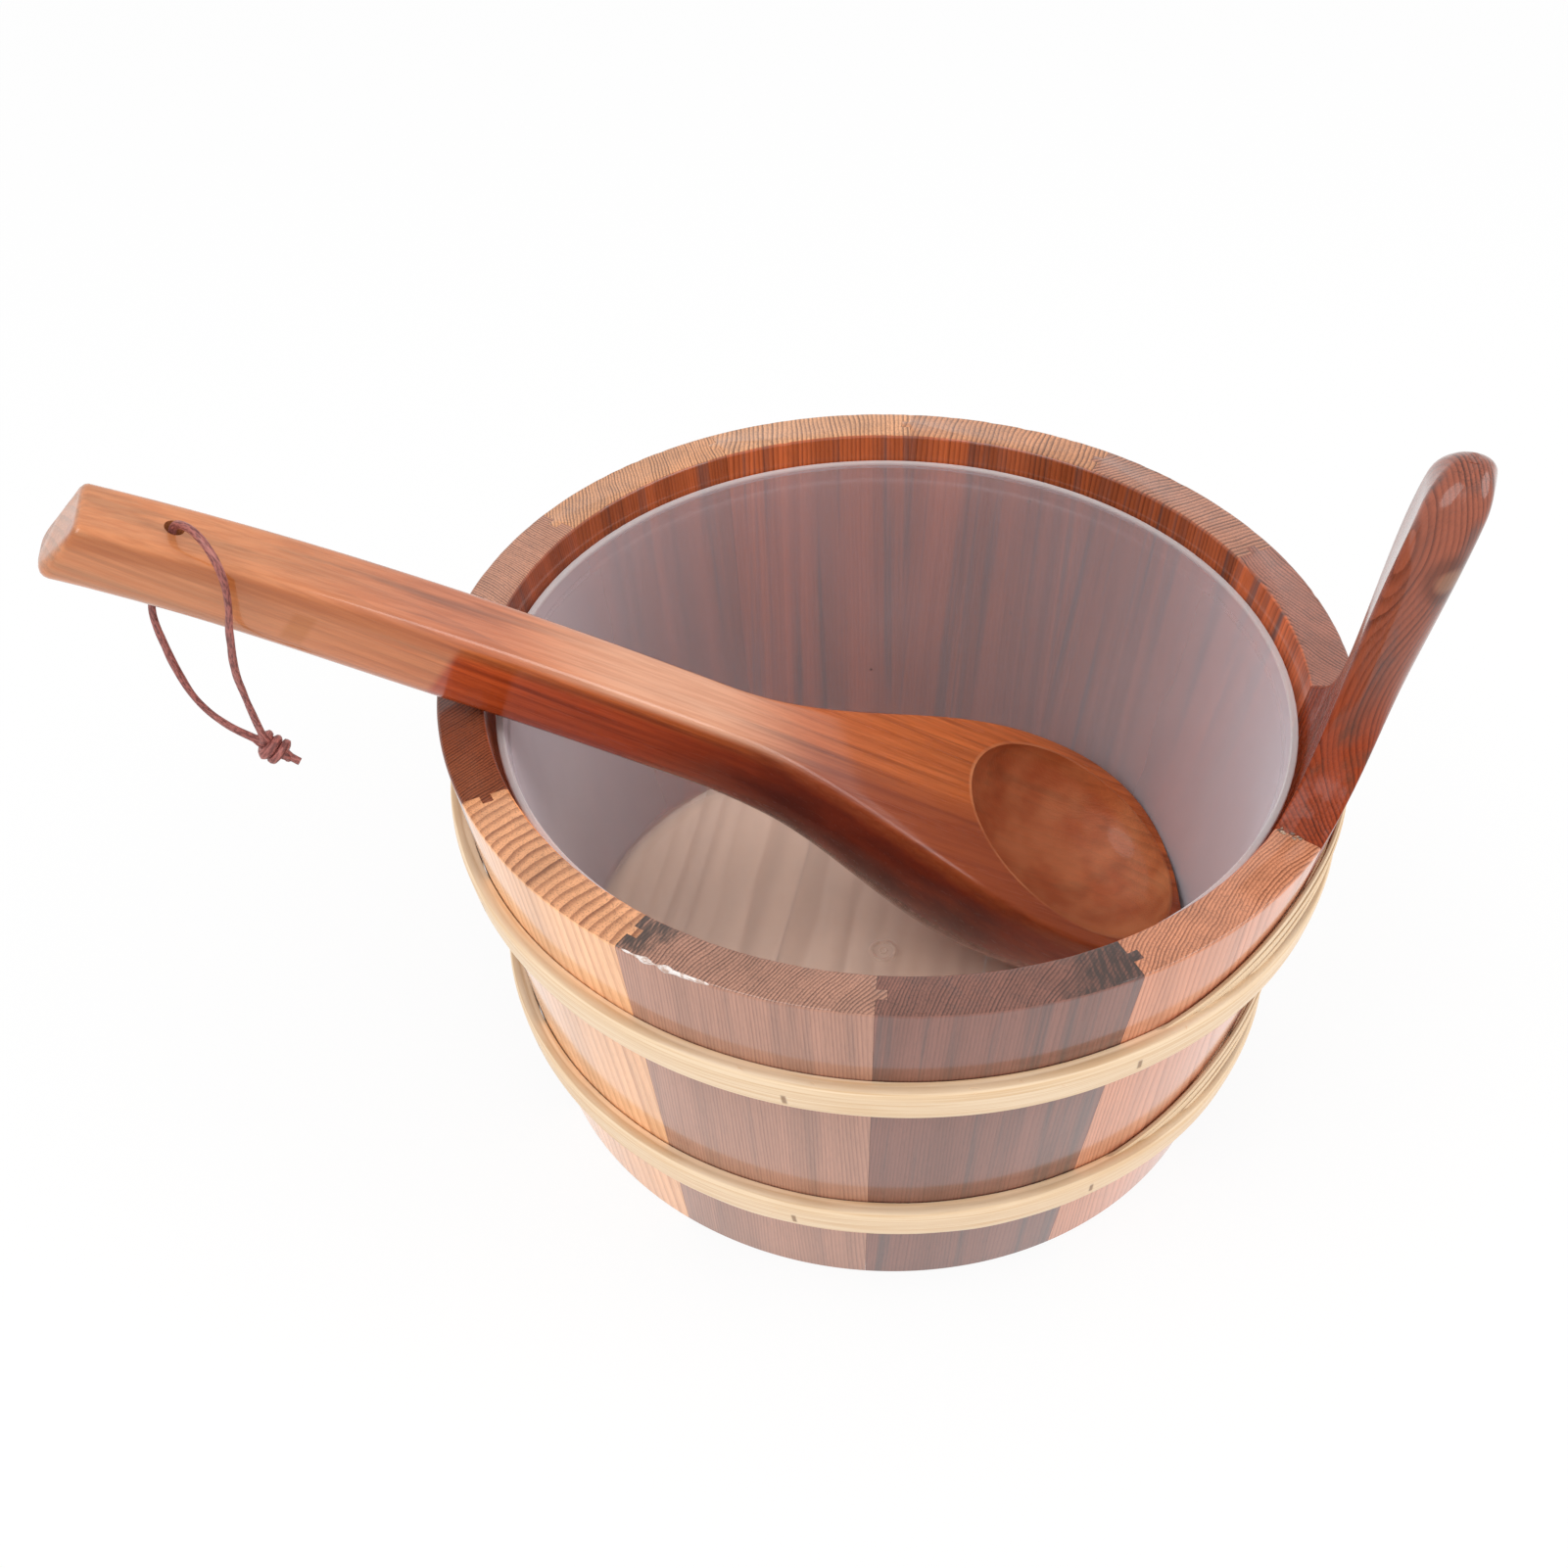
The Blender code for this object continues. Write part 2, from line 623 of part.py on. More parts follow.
def ladle_rings():
    rings = [ladle_ring(0.0, END_ROUND), ladle_ring(0.3 * END_ROUND, 0.35 * END_ROUND)]
    for step in range(LADLE_RINGS + 1):
        share = step / LADLE_RINGS
        reach = share * (1.0 + BOWL_CROWDING - BOWL_CROWDING * share)
        rings.append(ladle_ring(END_ROUND + (LADLE_LENGTH - END_ROUND) * reach, 0.0))
    return rings


def ladle_matrix_at(along, height, slope):
    """Pose with the ladle's reference point a length along its own bearing and at a height."""
    bearing = Matrix.Rotation(LADLE_TURN, 4, "Z")
    place = bearing @ Vector((along, LADLE_SIDE_SHIFT, height))
    turn = Euler((LADLE_ROLL, slope, LADLE_TURN), "XYZ")
    return Matrix.Translation(place) @ turn.to_matrix().to_4x4()


def settle_ladle(rings):
    """Slides, sinks and tips the ladle until it rests on the liner's floor and wall and on the rim."""
    skin = []
    for lower, upper in zip(rings, rings[1:]):
        for start, end in zip(lower, upper):
            for step in range(SETTLE_SAMPLES):
                skin.append(start.lerp(end, step / SETTLE_SAMPLES))
    slope = LADLE_SLOPE
    past_reference = LADLE_LENGTH - LADLE_REFERENCE
    along = liner_inside(LINER_FLOOR_HIGH) - past_reference * math.cos(slope)
    height = LINER_FLOOR_HIGH + past_reference * math.sin(slope)
    facing = Matrix.Rotation(-LADLE_TURN, 4, "Z")
    for step in range(SETTLE_ROUNDS):
        pose = facing @ ladle_matrix_at(along, height, slope)
        floor_gap = TUB_HEIGHT
        wall_gap = RIM_RADIUS
        rim_gap = TUB_HEIGHT
        for point in skin:
            ahead, aside, z = pose @ point
            radius = math.hypot(ahead, aside)
            floor_gap = min(floor_gap, z - LINER_FLOOR_HIGH)
            if ahead > 0.0 and z < LIP_LOW:
                wall_gap = min(wall_gap, liner_inside(max(z, LINER_FLOOR_HIGH)) - radius)
            if ahead < 0.0 and inner_radius(TUB_HEIGHT) < radius < outer_radius(TUB_HEIGHT):
                rim_gap = min(rim_gap, z - TUB_HEIGHT)
        along += settle_step(wall_gap - LADLE_WALL_PLAY)
        height -= settle_step(floor_gap - REST_GAP)
        slope -= settle_step(rim_gap - REST_GAP) / LADLE_LENGTH
    return along, height, slope


def settle_step(excess):
    """Part of a gap to close in one round, held to a few millimetres so that the rounds settle."""
    return SETTLE_EASE * min(max(excess, -SETTLE_STRIDE), SETTLE_STRIDE)


LADLE_REST = []


def ladle_matrix():
    if not LADLE_REST:
        LADLE_REST.extend(settle_ladle(ladle_rings()))
    return ladle_matrix_at(*LADLE_REST)


def build_ladle(parts, cutters, surface):
    ladle = add_object("ladle", loft_mesh("ladle", ladle_rings()), parts, surface, smooth=True)
    ladle.matrix_world = ladle_matrix()

    work = bmesh.new()
    bmesh.ops.create_uvsphere(work, u_segments=36, v_segments=24, radius=1.0)
    bmesh.ops.scale(work, vec=(HOLLOW_LENGTH, HOLLOW_WIDTH, HOLLOW_DEPTH), verts=work.verts)
    hollow = add_object(
        "ladle_hollow_tool", finish_mesh("ladle_hollow", work), cutters, smooth=True
    )
    tilt = Matrix.Rotation(ladle_angle(HOLLOW_AT), 4, "Y")
    place = Matrix.Translation(ladle_top(HOLLOW_AT))
    hollow.matrix_world = ladle_matrix() @ place @ tilt
    combine(ladle, hollow, "DIFFERENCE")

    work = bmesh.new()
    bmesh.ops.create_cone(
        work,
        cap_ends=True,
        segments=16,
        radius1=CORD_HOLE_RADIUS,
        radius2=CORD_HOLE_RADIUS,
        depth=4 * HANDLE_DEPTH,
    )
    hole = add_object("ladle_hole_tool", finish_mesh("ladle_hole", work), cutters)
    tilt = Matrix.Rotation(ladle_angle(CORD_HOLE_AT), 4, "Y")
    hole.matrix_world = ladle_matrix() @ Matrix.Translation(ladle_top(CORD_HOLE_AT)) @ tilt
    combine(ladle, hole, "DIFFERENCE")


def hole_point(above):
    """A point of the cord where it bears on the front of its hole, at a height over the ladle's top face."""
    local = ladle_top(CORD_HOLE_AT) + ladle_normal(CORD_HOLE_AT) * above
    local.y -= CORD_HOLE_RADIUS - CORD_RADIUS - REST_GAP
    return ladle_matrix() @ local


def knot_point(along, across=0.0, turn=0.0):
    """A point along the knot's axis, which falls to the right, and out from it at a turn from above."""
    axis = Vector((math.cos(KNOT_SLOPE), 0.0, -math.sin(KNOT_SLOPE)))
    above = Vector((math.sin(KNOT_SLOPE), 0.0, math.cos(KNOT_SLOPE)))
    behind = Vector((0.0, 1.0, 0.0))
    out = above * math.cos(turn) + behind * math.sin(turn)
    return hole_point(0.0) + KNOT_HANG + axis * along + out * across


def knot_route():
    """The front strand's end, wound round the other strand."""
    points = []
    for step in range(KNOT_POINTS):
        share = step / (KNOT_POINTS - 1)
        along = KNOT_PITCH * KNOT_TURNS * (share - 0.5)
        points.append(knot_point(along, KNOT_RADIUS, KNOT_START + 2 * math.pi * KNOT_TURNS * share))
    return points


def cord_route():
    """Hand-chosen points, hung from the hole: up the front strand, down the hole and through the knot."""
    knot_half = KNOT_PITCH * KNOT_TURNS / 2
    front = [
        Vector((10.6, -5.2, -53.0)),
        Vector((10.8, -8.7, -38.0)),
        Vector((12.6, -10.9, -24.5)),
        Vector((14.5, -11.3, -11.5)),
        Vector((13.2, -9.7, -2.3)),
        Vector((7.9, -5.2, 3.1)),
    ]
    back = [
        Vector((-11.4, -0.1, -27.2)),
        Vector((-10.2, -0.7, -37.0)),
        Vector((-7.2, -1.5, -49.5)),
        Vector((-3.2, -1.7, -58.2)),
        Vector((1.8, -1.7, -63.8)),
    ]
    hole = hole_point(0.0)
    over_knot = [knot_point(-knot_half, KNOT_RADIUS + CORD_RADIUS + KNOT_GAP)]
    down_hole = [
        hole_point(CORD_OVER_HOLE),
        hole_point(-CORD_IN_HOLE),
        hole_point(-HANDLE_END_DEPTH),
    ]
    through_knot = [
        knot_point(-1.5 * knot_half),
        knot_point(-0.8 * knot_half),
        knot_point(0.0),
        knot_point(knot_half),
        knot_point(CORD_TAIL),
    ]
    up = over_knot + [hole + point * MM for point in front]
    return up + down_hole + [hole + point * MM for point in back] + through_knot


def smooth_points(points, count):
    """Even points along a Catmull-Rom curve through the route points."""
    padded = [2 * points[0] - points[1]] + points + [2 * points[-1] - points[-2]]
    fine = []
    for i in range(1, len(padded) - 2):
        a, b, c, d = padded[i - 1 : i + 3]
        for step in range(20):
            t = step / 20
            fine.append(
                0.5
                * (
                    2 * b
                    + (c - a) * t
                    + (2 * a - 5 * b + 4 * c - d) * t * t
                    + (3 * b - a - 3 * c + d) * t * t * t
                )
            )
    fine.append(points[-1])
    lengths = [0.0]
    for before, after in zip(fine, fine[1:]):
        lengths.append(lengths[-1] + (after - before).length)
    even = []
    place = 0
    for step in range(count):
        want = lengths[-1] * step / (count - 1)
        while place < len(lengths) - 2 and lengths[place + 1] < want:
            place += 1
        share = (want - lengths[place]) / (lengths[place + 1] - lengths[place])
        even.append(fine[place].lerp(fine[place + 1], share))
    return even


def tube(name, points, radius, parts, surface):
    curve = bpy.data.curves.new(name, "CURVE")
    curve.dimensions = "3D"
    curve.bevel_depth = radius
    curve.bevel_resolution = 2
    curve.use_fill_caps = True
    spline = curve.splines.new("POLY")
    spline.points.add(len(points) - 1)
    for slot, point in zip(spline.points, points):
        slot.co = (*point, 1.0)
    made = bpy.data.objects.new(name, curve)
    parts.objects.link(made)
    curve.materials.append(surface)
    return made


def least_self_gap(points, radius):
    """Smallest face-to-face gap between stretches of one tube more than three diameters apart."""
    lengths = [0.0]
    for before, after in zip(points, points[1:]):
        lengths.append(lengths[-1] + (after - before).length)
    least = 1.0
    for i, first in enumerate(points):
        for j in range(i + 1, len(points)):
            if lengths[j] - lengths[i] > 6 * radius:
                least = min(least, (points[j] - first).length - 2 * radius)
    return least


def main():
    clear_scene()
    bpy.context.scene.unit_settings.system = "METRIC"
    parts = collection("Sauna bucket")
    cutters = collection("Cutters")
    cutters.hide_render = True

    cedar = [
        material("cedar_dark", (0.25, 0.11, 0.06), 0.3),
        material("cedar_light", (0.62, 0.31, 0.17), 0.3),
        material("cedar_middle", (0.42, 0.20, 0.12), 0.3),
    ]
    build_staves(parts, cutters, cedar)
    build_handle_stave(parts, cutters, material("cedar_handle", (0.40, 0.15, 0.07), 0.2))
    build_base(parts, cutters, material("pale_softwood", (0.72, 0.58, 0.45), 0.5))
    build_hoops(parts, material("split_rattan", (0.83, 0.66, 0.42), 0.45))
    build_liner(parts, material("milky_plastic", (0.78, 0.74, 0.74), 0.35))
    build_ladle(parts, cutters, material("cedar_ladle", (0.45, 0.19, 0.09), 0.25))

    lace = material("leather_lace", (0.28, 0.10, 0.09), 0.6)
    cord = smooth_points(cord_route(), CORD_POINT_COUNT)
    tube("lanyard_cord", cord, CORD_RADIUS, parts, lace)
    knot = knot_route()
    tube("lanyard_knot", knot, CORD_RADIUS, parts, lace)
    length = sum((after - before).length for before, after in zip(cord, cord[1:]))
    print(f"cord length {length / MM:.1f} mm")
    print(f"cord least gap to itself {least_self_gap(cord, CORD_RADIUS) / MM:.2f} mm")
    print(f"knot least gap to itself {least_self_gap(knot, CORD_RADIUS) / MM:.2f} mm")


main()
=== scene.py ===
"""Sauna bucket dressed for its picture: cedar staves, rattan hoops, milky liner, carved ladle and lace.

Metres, +Z up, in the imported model's own frame: the tub's axis is the Z axis and its staves stand on z = 0.
"""

import json
import math
from collections import namedtuple

import bmesh
import bpy
from mathutils import Euler, Matrix, Vector, noise

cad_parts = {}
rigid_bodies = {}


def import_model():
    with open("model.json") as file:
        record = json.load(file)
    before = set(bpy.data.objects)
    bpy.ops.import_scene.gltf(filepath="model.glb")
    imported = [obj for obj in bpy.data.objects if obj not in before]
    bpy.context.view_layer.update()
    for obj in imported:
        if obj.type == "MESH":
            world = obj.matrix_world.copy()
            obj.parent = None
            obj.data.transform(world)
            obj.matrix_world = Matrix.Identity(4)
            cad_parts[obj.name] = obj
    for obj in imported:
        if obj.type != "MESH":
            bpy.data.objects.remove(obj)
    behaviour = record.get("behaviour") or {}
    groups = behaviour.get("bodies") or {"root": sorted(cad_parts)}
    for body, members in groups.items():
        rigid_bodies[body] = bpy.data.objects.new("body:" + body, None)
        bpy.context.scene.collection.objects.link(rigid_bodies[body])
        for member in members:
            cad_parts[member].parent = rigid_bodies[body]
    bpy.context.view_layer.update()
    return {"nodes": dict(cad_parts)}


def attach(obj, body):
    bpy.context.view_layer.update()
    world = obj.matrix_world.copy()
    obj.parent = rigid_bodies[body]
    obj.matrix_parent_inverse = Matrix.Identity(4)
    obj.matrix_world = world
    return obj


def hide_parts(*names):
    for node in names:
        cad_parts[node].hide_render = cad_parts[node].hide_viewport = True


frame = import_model()

bl_info = {
    "name": "Sauna bucket",
    "version": (1, 0, 0),
    "blender": (4, 5, 0),
    "location": "View3D > Sidebar > Bucket",
    "description": "Dresses a coopered sauna bucket with its hoops, liner, ladle and lace",
    "category": "Add Mesh",
}

MM = 0.001
FULL_TURN = 2 * math.pi

# Seed of the draws that scatter the crumbs of glue
GLUE_SEED = 7

# Steps of the fine meshes
STAVE_STEPS = 30
RIM_STEPS = 5
CORNER_STEPS = 8
GRIP_RINGS = 80
STRIP_STEPS = 288
TURN_STEPS = 144
FILLET_STEPS = 6
LADLE_RINGS = 120
SECTION_STEPS = 48
TOP_STEPS = 12
LACE_STEPS = 320
LACE_SIDES = 12
TAIL_STEPS = 24
KNOT_STEPS = 30
CURVE_STEPS = 20
STRIP_SIDES = 14
FIBRE_STEPS = 5
FIBRE_SIDES = 3
ARRIS_STEPS = 4
BEND_STEPS = 40
HOLLOW_SEGMENTS = 128
HOLLOW_RINGS = 80
HOLE_SEGMENTS = 32
BEAD_STEPS = 60
BEAD_SIDES = 10
GLUE_SPECKS = 16
FLOOR_CELLS = 8

# Angles in degrees from which an edge is shown as a crease
WOOD_CREASE = 35.0
LADLE_CREASE = 32.0
STRIP_CREASE = 50.0
SOFT_CREASE = 60.0


def length(label, about, millimetres):
    return bpy.props.FloatProperty(
        name=label, description=about, default=millimetres * MM, unit="LENGTH", precision=4
    )


def angle(label, about, degrees):
    return bpy.props.FloatProperty(
        name=label, description=about, default=math.radians(degrees), unit="ROTATION"
    )


def lengths(label, about, *millimetres):
    return bpy.props.FloatVectorProperty(
        name=label, description=about, default=tuple(part * MM for part in millimetres), unit="LENGTH"
    )


def angles(label, about, *degrees):
    return bpy.props.FloatVectorProperty(
        name=label, description=about, default=tuple(map(math.radians, degrees)), unit="ROTATION"
    )


def number(label, about, value):
    return bpy.props.FloatProperty(name=label, description=about, default=value)


def colour(label, about, red, green, blue):
    return bpy.props.FloatVectorProperty(
        name=label, description=about, default=(red, green, blue), subtype="COLOR", min=0.0, max=1.0
    )


class TubSizes(bpy.types.PropertyGroup):
    rim_radius: length("Rim radius", "Outer radius of the tub at its rim", 130.0)
    foot_radius: length("Foot radius", "Outer radius of the tub at its foot", 107.4)
    height: length("Height", "Height of the short staves", 142.0)
    wall: length("Wall", "Thickness of the staves", 13.1)
    stave_count: bpy.props.IntProperty(
        name="Staves", description="Staves round the tub, the long one included", default=12
    )
    first_joint: angle("First joint", "Bearing of the joint behind the long stave", -0.6)
    rim_round: length("Rim round", "Radius of the arrises of the rim", 1.0)
    seam: length("Seam", "Glue line between two staves", 0.06)
    tongue_thickness: length("Tongue", "Thickness of the tongues of the joints", 3.6)
    tongue_reach: length("Tongue reach", "How far a tongue goes into its neighbour", 3.0)
    base_recess: length("Base recess", "Height of the base above the foot", 9.0)
    base_thickness: length("Base thickness", "Thickness of the base boards", 10.5)
    croze_depth: length("Croze depth", "Depth of the groove that takes the base", 2.2)
    croze_play: length("Croze play", "Play of the base in its groove", 0.3)
    grain_turn: angle("Base grain", "Bearing of the grain of the base boards", 82.0)


class GripSizes(bpy.types.PropertyGroup):
    height: length("Height", "Height of the grip above the rim", 101.0)
    waist: length("Waist", "Half width of the grip at its waist", 11.5)
    waist_height: length("Waist height", "Height of the waist above the rim", 37.0)
    head: length("Head", "Half width of the grip at its head", 16.2)
    head_height: length("Head height", "Height of the head above the rim", 78.0)
    edge_round: length("Edge round", "Radius of the grip's long edges", 5.6)
    stave_round: length("Stave round", "Radius of the long stave's edges below the rim", 0.6)
    thickening: length("Thickening", "How much thicker the head is than the wall", 2.4)
    top_round: length("Top round", "Height over which the top closes", 11.0)
    top_half_width: length("Top width", "Least half width at the very top", 1.5)
    flare: number("Flare", "How fast the grip widens into the stave", 2.6)


class HoopSizes(bpy.types.PropertyGroup):
    upper_height: length("Upper height", "Height of the upper hoop", 105.5)
    lower_height: length("Lower height", "Height of the lower hoop", 39.0)
    outer_width: length("Outer width", "Width of the outer strips", 12.5)
    outer_thickness: length("Outer thickness", "Thickness of the outer strips", 2.8)
    inner_width: length("Inner width", "Width of the inner strips", 9.0)
    inner_thickness: length("Inner thickness", "Thickness of the inner strips", 1.4)
    rise: length("Rise", "How far an inner strip climbs where the turns part", 20.0)
    dip: length("Dip", "How far an outer strip drops where the turns part", 3.0)
    outer_bow: length("Outer bow", "How far an outer strip bows out where the turns part", 0.3)
    inner_bow: length("Inner bow", "How far an inner strip bows out where the turns part", 0.6)
    stand_off: length("Stand-off", "Gap between the wall and an inner strip", 0.4)
    strip_gap: length("Strip gap", "Gap between the two turns of a hoop", 0.3)
    parting_centre: angle("Parting", "Bearing of the middle of the parting", 8.0)
    parting_half: angle("Parting span", "Half of the span in which the turns part", 70.0)
    parting_length: angle("Parting ease", "Span over which the turns move apart", 42.0)
    butt: angle("Butt", "Bearing where the ends of a strip meet", 100.0)


class LinerSizes(bpy.types.PropertyGroup):
    wall: length("Wall", "Thickness of the liner", 1.4)
    rim_drop: length("Rim drop", "How far the lip lies below the tub's rim", 7.8)
    lip_play: length("Lip play", "Gap between the lip and the tub", 1.5)
    lip_thickness: length("Lip thickness", "Thickness of the lip", 2.0)
    neck_play: length("Neck play", "Gap between the liner and the tub under the lip", 2.9)
    floor_play: length("Floor play", "Gap between the liner and the tub at the floor", 0.8)
    floor_lift: length("Floor lift", "Gap between the liner and the base boards", 0.3)
    floor_round: length("Floor round", "Radius between floor and wall", 5.0)
    step_drop: length("Step drop", "Depth of the moulded step under the lip", 6.0)
    step: length("Step", "Width of the moulded step", 0.8)
    mark_radius: length("Mark radius", "Radius of the round moulding mark on the floor", 4.0)
    mark_height: length("Mark height", "Height of the moulding mark", 0.4)


class LadleSizes(bpy.types.PropertyGroup):
    length: length("Length", "Length of the ladle along its top face", 362.0)
    neck_back: length("Neck", "Start of the neck, back from the tip", 170.0)
    reference_back: length("Reference", "Point that the bend is measured from, back from the tip", 155.0)
    deepens_back: length("Deepens", "Where the ladle starts to deepen, back from the tip", 146.0)
    deepest_back: length("Deepest", "Where the bowl is deepest, back from the tip", 66.0)
    bowl_back: length("Bowl", "Where the bowl is widest, back from the tip", 43.0)
    hollow_back: length("Hollow", "Middle of the hollow, back from the tip", 42.5)
    hole_at: length("Hole", "Place of the lace's hole from the handle's end", 30.0)
    hole_radius: length("Hole radius", "Radius of the lace's hole", 2.6)
    place: lengths("Place", "Place of the ladle's reference point", -34.01, -4.84, 121.42)
    tilt: angles("Tilt", "Roll, slope and bearing of the resting ladle", 6.5, 32.795, 12.95)
    bend: number("Bend", "Bend of the top line, in radians per metre", 0.2334)
    bend_ease: number("Bend ease", "Change of the bend along the ladle", -2.917)
    end_half_width: length("End width", "Half width of the handle's end", 7.2)
    neck_half_width: length("Neck width", "Half width of the neck", 8.4)
    bowl_half_width: length("Bowl width", "Half width of the bowl", 42.0)
    tip_half_width: length("Tip width", "Half width of the very tip", 4.0)
    tip_squareness: number("Tip squareness", "Outline of the bowl's tip, 2 for an ellipse", 2.5)
    handle_arris: length("Handle arris", "Round of the handle's top edges", 2.7)
    bowl_arris: length("Bowl arris", "Round of the bowl's top edges", 1.4)
    handle_squareness: number("Handle squareness", "Section of the handle, 2 for an ellipse", 4.5)
    bowl_squareness: number("Bowl squareness", "Section of the bowl, 2 for an ellipse", 2.6)
    end_depth: length("End depth", "Depth of the handle at its end", 21.8)
    handle_depth: length("Handle depth", "Depth of the handle", 26.0)
    bowl_depth: length("Bowl depth", "Depth of the bowl outside", 38.2)
    tip_depth: length("Tip depth", "Depth at the tip", 10.0)
    end_round: length("End round", "Round of the edges of the handle's end", 3.0)
    end_lean: length("End lean", "How far the end is cut back at its top", 6.0)
    end_reach: length("End reach", "Length over which the slanted end runs out", 20.0)
    hollow: lengths("Hollow", "Half axes of the carved hollow", 39.5, 37.0, 25.0)


class LaceSizes(bpy.types.PropertyGroup):
    radius: length("Radius", "Half of the lace's thickness", 1.0)
    length: length("Length", "Length of the lace with its knot", 216.0)
    knot_hang: lengths("Knot", "Place of the knot from the top of its hole", 13.1, -1.7, -71.7)
    knot_slope: angle("Knot slope", "Fall of the knot's axis to the right", 35.0)
    knot_gap: length("Knot gap", "Gap between the strands of the knot", 0.5)
    knot_turns: number("Knot turns", "Turns of one strand round the other", 2.4)
    tail: length("Tail", "Reach of the cut end past the knot's middle", 8.3)


class CedarColours(bpy.types.PropertyGroup):
    light: colour("Light", "Earlywood of the light stave", 0.92, 0.50, 0.26)
    light_line: colour("Light line", "Latewood of the light stave", 0.50, 0.19, 0.08)
    mauve: colour("Mauve", "Earlywood of the mauve stave", 0.45, 0.225, 0.155)
    mauve_line: colour("Mauve line", "Latewood of the mauve stave", 0.20, 0.085, 0.06)
    dusk: colour("Dusk", "Earlywood of the dark front stave", 0.25, 0.105, 0.078)
    dusk_line: colour("Dusk line", "Latewood of the dark front stave", 0.12, 0.05, 0.038)
    peach: colour("Peach", "Earlywood of the peach stave", 0.7, 0.29, 0.165)
    peach_line: colour("Peach line", "Latewood of the peach stave", 0.4, 0.13, 0.06)
    tan: colour("Tan", "Earlywood of the back staves", 0.45, 0.138, 0.058)
    tan_line: colour("Tan line", "Latewood of the back staves", 0.165, 0.045, 0.018)
    brown: colour("Brown", "Earlywood of the brown staves", 0.27, 0.082, 0.04)
    brown_line: colour("Brown line", "Latewood of the brown staves", 0.11, 0.028, 0.012)
    streak: colour("Streak", "Mineral streaks in the cedar", 0.075, 0.06, 0.06)
    stain: colour("Stain", "Heart stains on the rim", 0.035, 0.023, 0.019)
    grip: colour("Grip", "Earlywood of the long stave", 0.31, 0.08, 0.04)
    grip_line: colour("Grip line", "Latewood of the long stave", 0.12, 0.026, 0.012)
    # Painted shade and reflection of the tub's red inside over the grip's foot
    grip_foot_painted_shade: colour("Grip foot", "Wash over the lower half of the grip", 0.97, 0.58, 0.30)
    knot_ring: colour("Knot ring", "Dark ring round the knot in the grip", 0.10, 0.027, 0.014)
    knot_core: colour("Knot core", "Core of the knot in the grip", 0.34, 0.17, 0.095)
    ladle: colour("Ladle", "Earlywood of the ladle", 0.54, 0.135, 0.036)
    ladle_line: colour("Ladle line", "Latewood of the ladle", 0.25, 0.05, 0.012)
    ladle_streak: colour("Ladle streak", "Dark heartwood streaks of the ladle", 0.08, 0.012, 0.006)
    ladle_ruddy: colour("Ladle ruddy", "Red wood along the front of the bowl", 0.29, 0.058, 0.024)
    ladle_head: colour("Ladle head", "Wash over the bowl", 1.0, 0.97, 0.80)
    # Painted shade on the flanks below the handle's top, towards the bowl
    ladle_side_shade: colour("Ladle side", "Wash over the flanks towards the bowl", 0.84, 0.52, 0.44)
    # Painted light and reflection: the top of the handle is painted lighter, most on the neck
    ladle_top_light: colour("Ladle crest", "Rubbed top of the handle", 0.80, 0.41, 0.25)
    ladle_middle: colour("Ladle middle", "Wash over the middle of the handle's top", 0.84, 0.86, 1.0)
    # Painted light and reflection of the white surround on the handle's end, where it stands out of the tub
    ladle_lit_end: colour("Ladle pale", "Paler wood towards the handle's end", 0.68, 0.32, 0.145)
    ladle_band: colour("Ladle band", "Band along the front arris of the handle", 0.46, 0.135, 0.035)
    ladle_patch: colour("Ladle patch", "Patch on the flank near the handle's end", 0.50, 0.165, 0.04)
    ladle_coarse: colour("Ladle coarse", "Wash of the coarse fibres", 0.78, 0.66, 0.56)
    # Dark heartwood streaks with painted shade on the lower flanks of the neck and bowl
    ladle_heart_and_shade: colour("Ladle heart", "Dark heart along the neck and bowl", 0.075, 0.014, 0.009)
    hollow_dark: colour("Hollow dark", "Darker places of the worn hollow", 0.43, 0.130, 0.052)
    hollow_light: colour("Hollow light", "Lighter places of the worn hollow", 0.66, 0.265, 0.118)


class OtherColours(bpy.types.PropertyGroup):
    softwood: colour("Softwood", "Earlywood of the base boards", 1.0, 0.83, 0.65)
    softwood_line: colour("Softwood line", "Latewood of the base boards", 0.72, 0.52, 0.34)
    rattan: colour("Rattan", "Inside of the split rattan", 0.92, 0.71, 0.485)
    rattan_fibre: colour("Rattan fibre", "Darker fibres of the rattan", 0.76, 0.5, 0.27)
    rattan_skin: colour("Rattan skin", "Brown skin left at the edges", 0.25, 0.12, 0.05)
    milk: colour("Milk", "Milky plastic of the liner", 0.8, 0.745, 0.80)
    milk_lip: colour("Milk lip", "Denser plastic of the lip", 0.80, 0.76, 0.76)
    milk_floor: colour("Milk floor", "Plastic of the floor, over the base", 1.0, 0.80, 0.70)
    milk_speck: colour("Milk speck", "Dark specks in the plastic", 0.06, 0.03, 0.02)
    leather: colour("Leather", "Face of the lace", 0.4, 0.125, 0.105)
    leather_dark: colour("Leather dark", "Worn hollows of the lace", 0.11, 0.026, 0.024)
    leather_rubbed: colour("Leather rubbed", "Rubbed places of the lace", 0.55, 0.22, 0.19)
    # Painted highlight: the run of varnish is painted pale to stand for its white glint
    varnish: colour("Varnish", "Run of varnish on the rim", 0.82, 0.74, 0.70)
    varnish_spot: colour("Varnish spot", "Spots in the run of varnish", 0.50, 0.33, 0.26)
    glue: colour("Glue", "Crumbs of old glue", 0.14, 0.065, 0.04)
    glue_spot: colour("Glue spot", "Pale spots on the glue", 0.50, 0.34, 0.23)
    floor: colour("Floor", "Pale studio floor", 0.93, 0.93, 0.93)


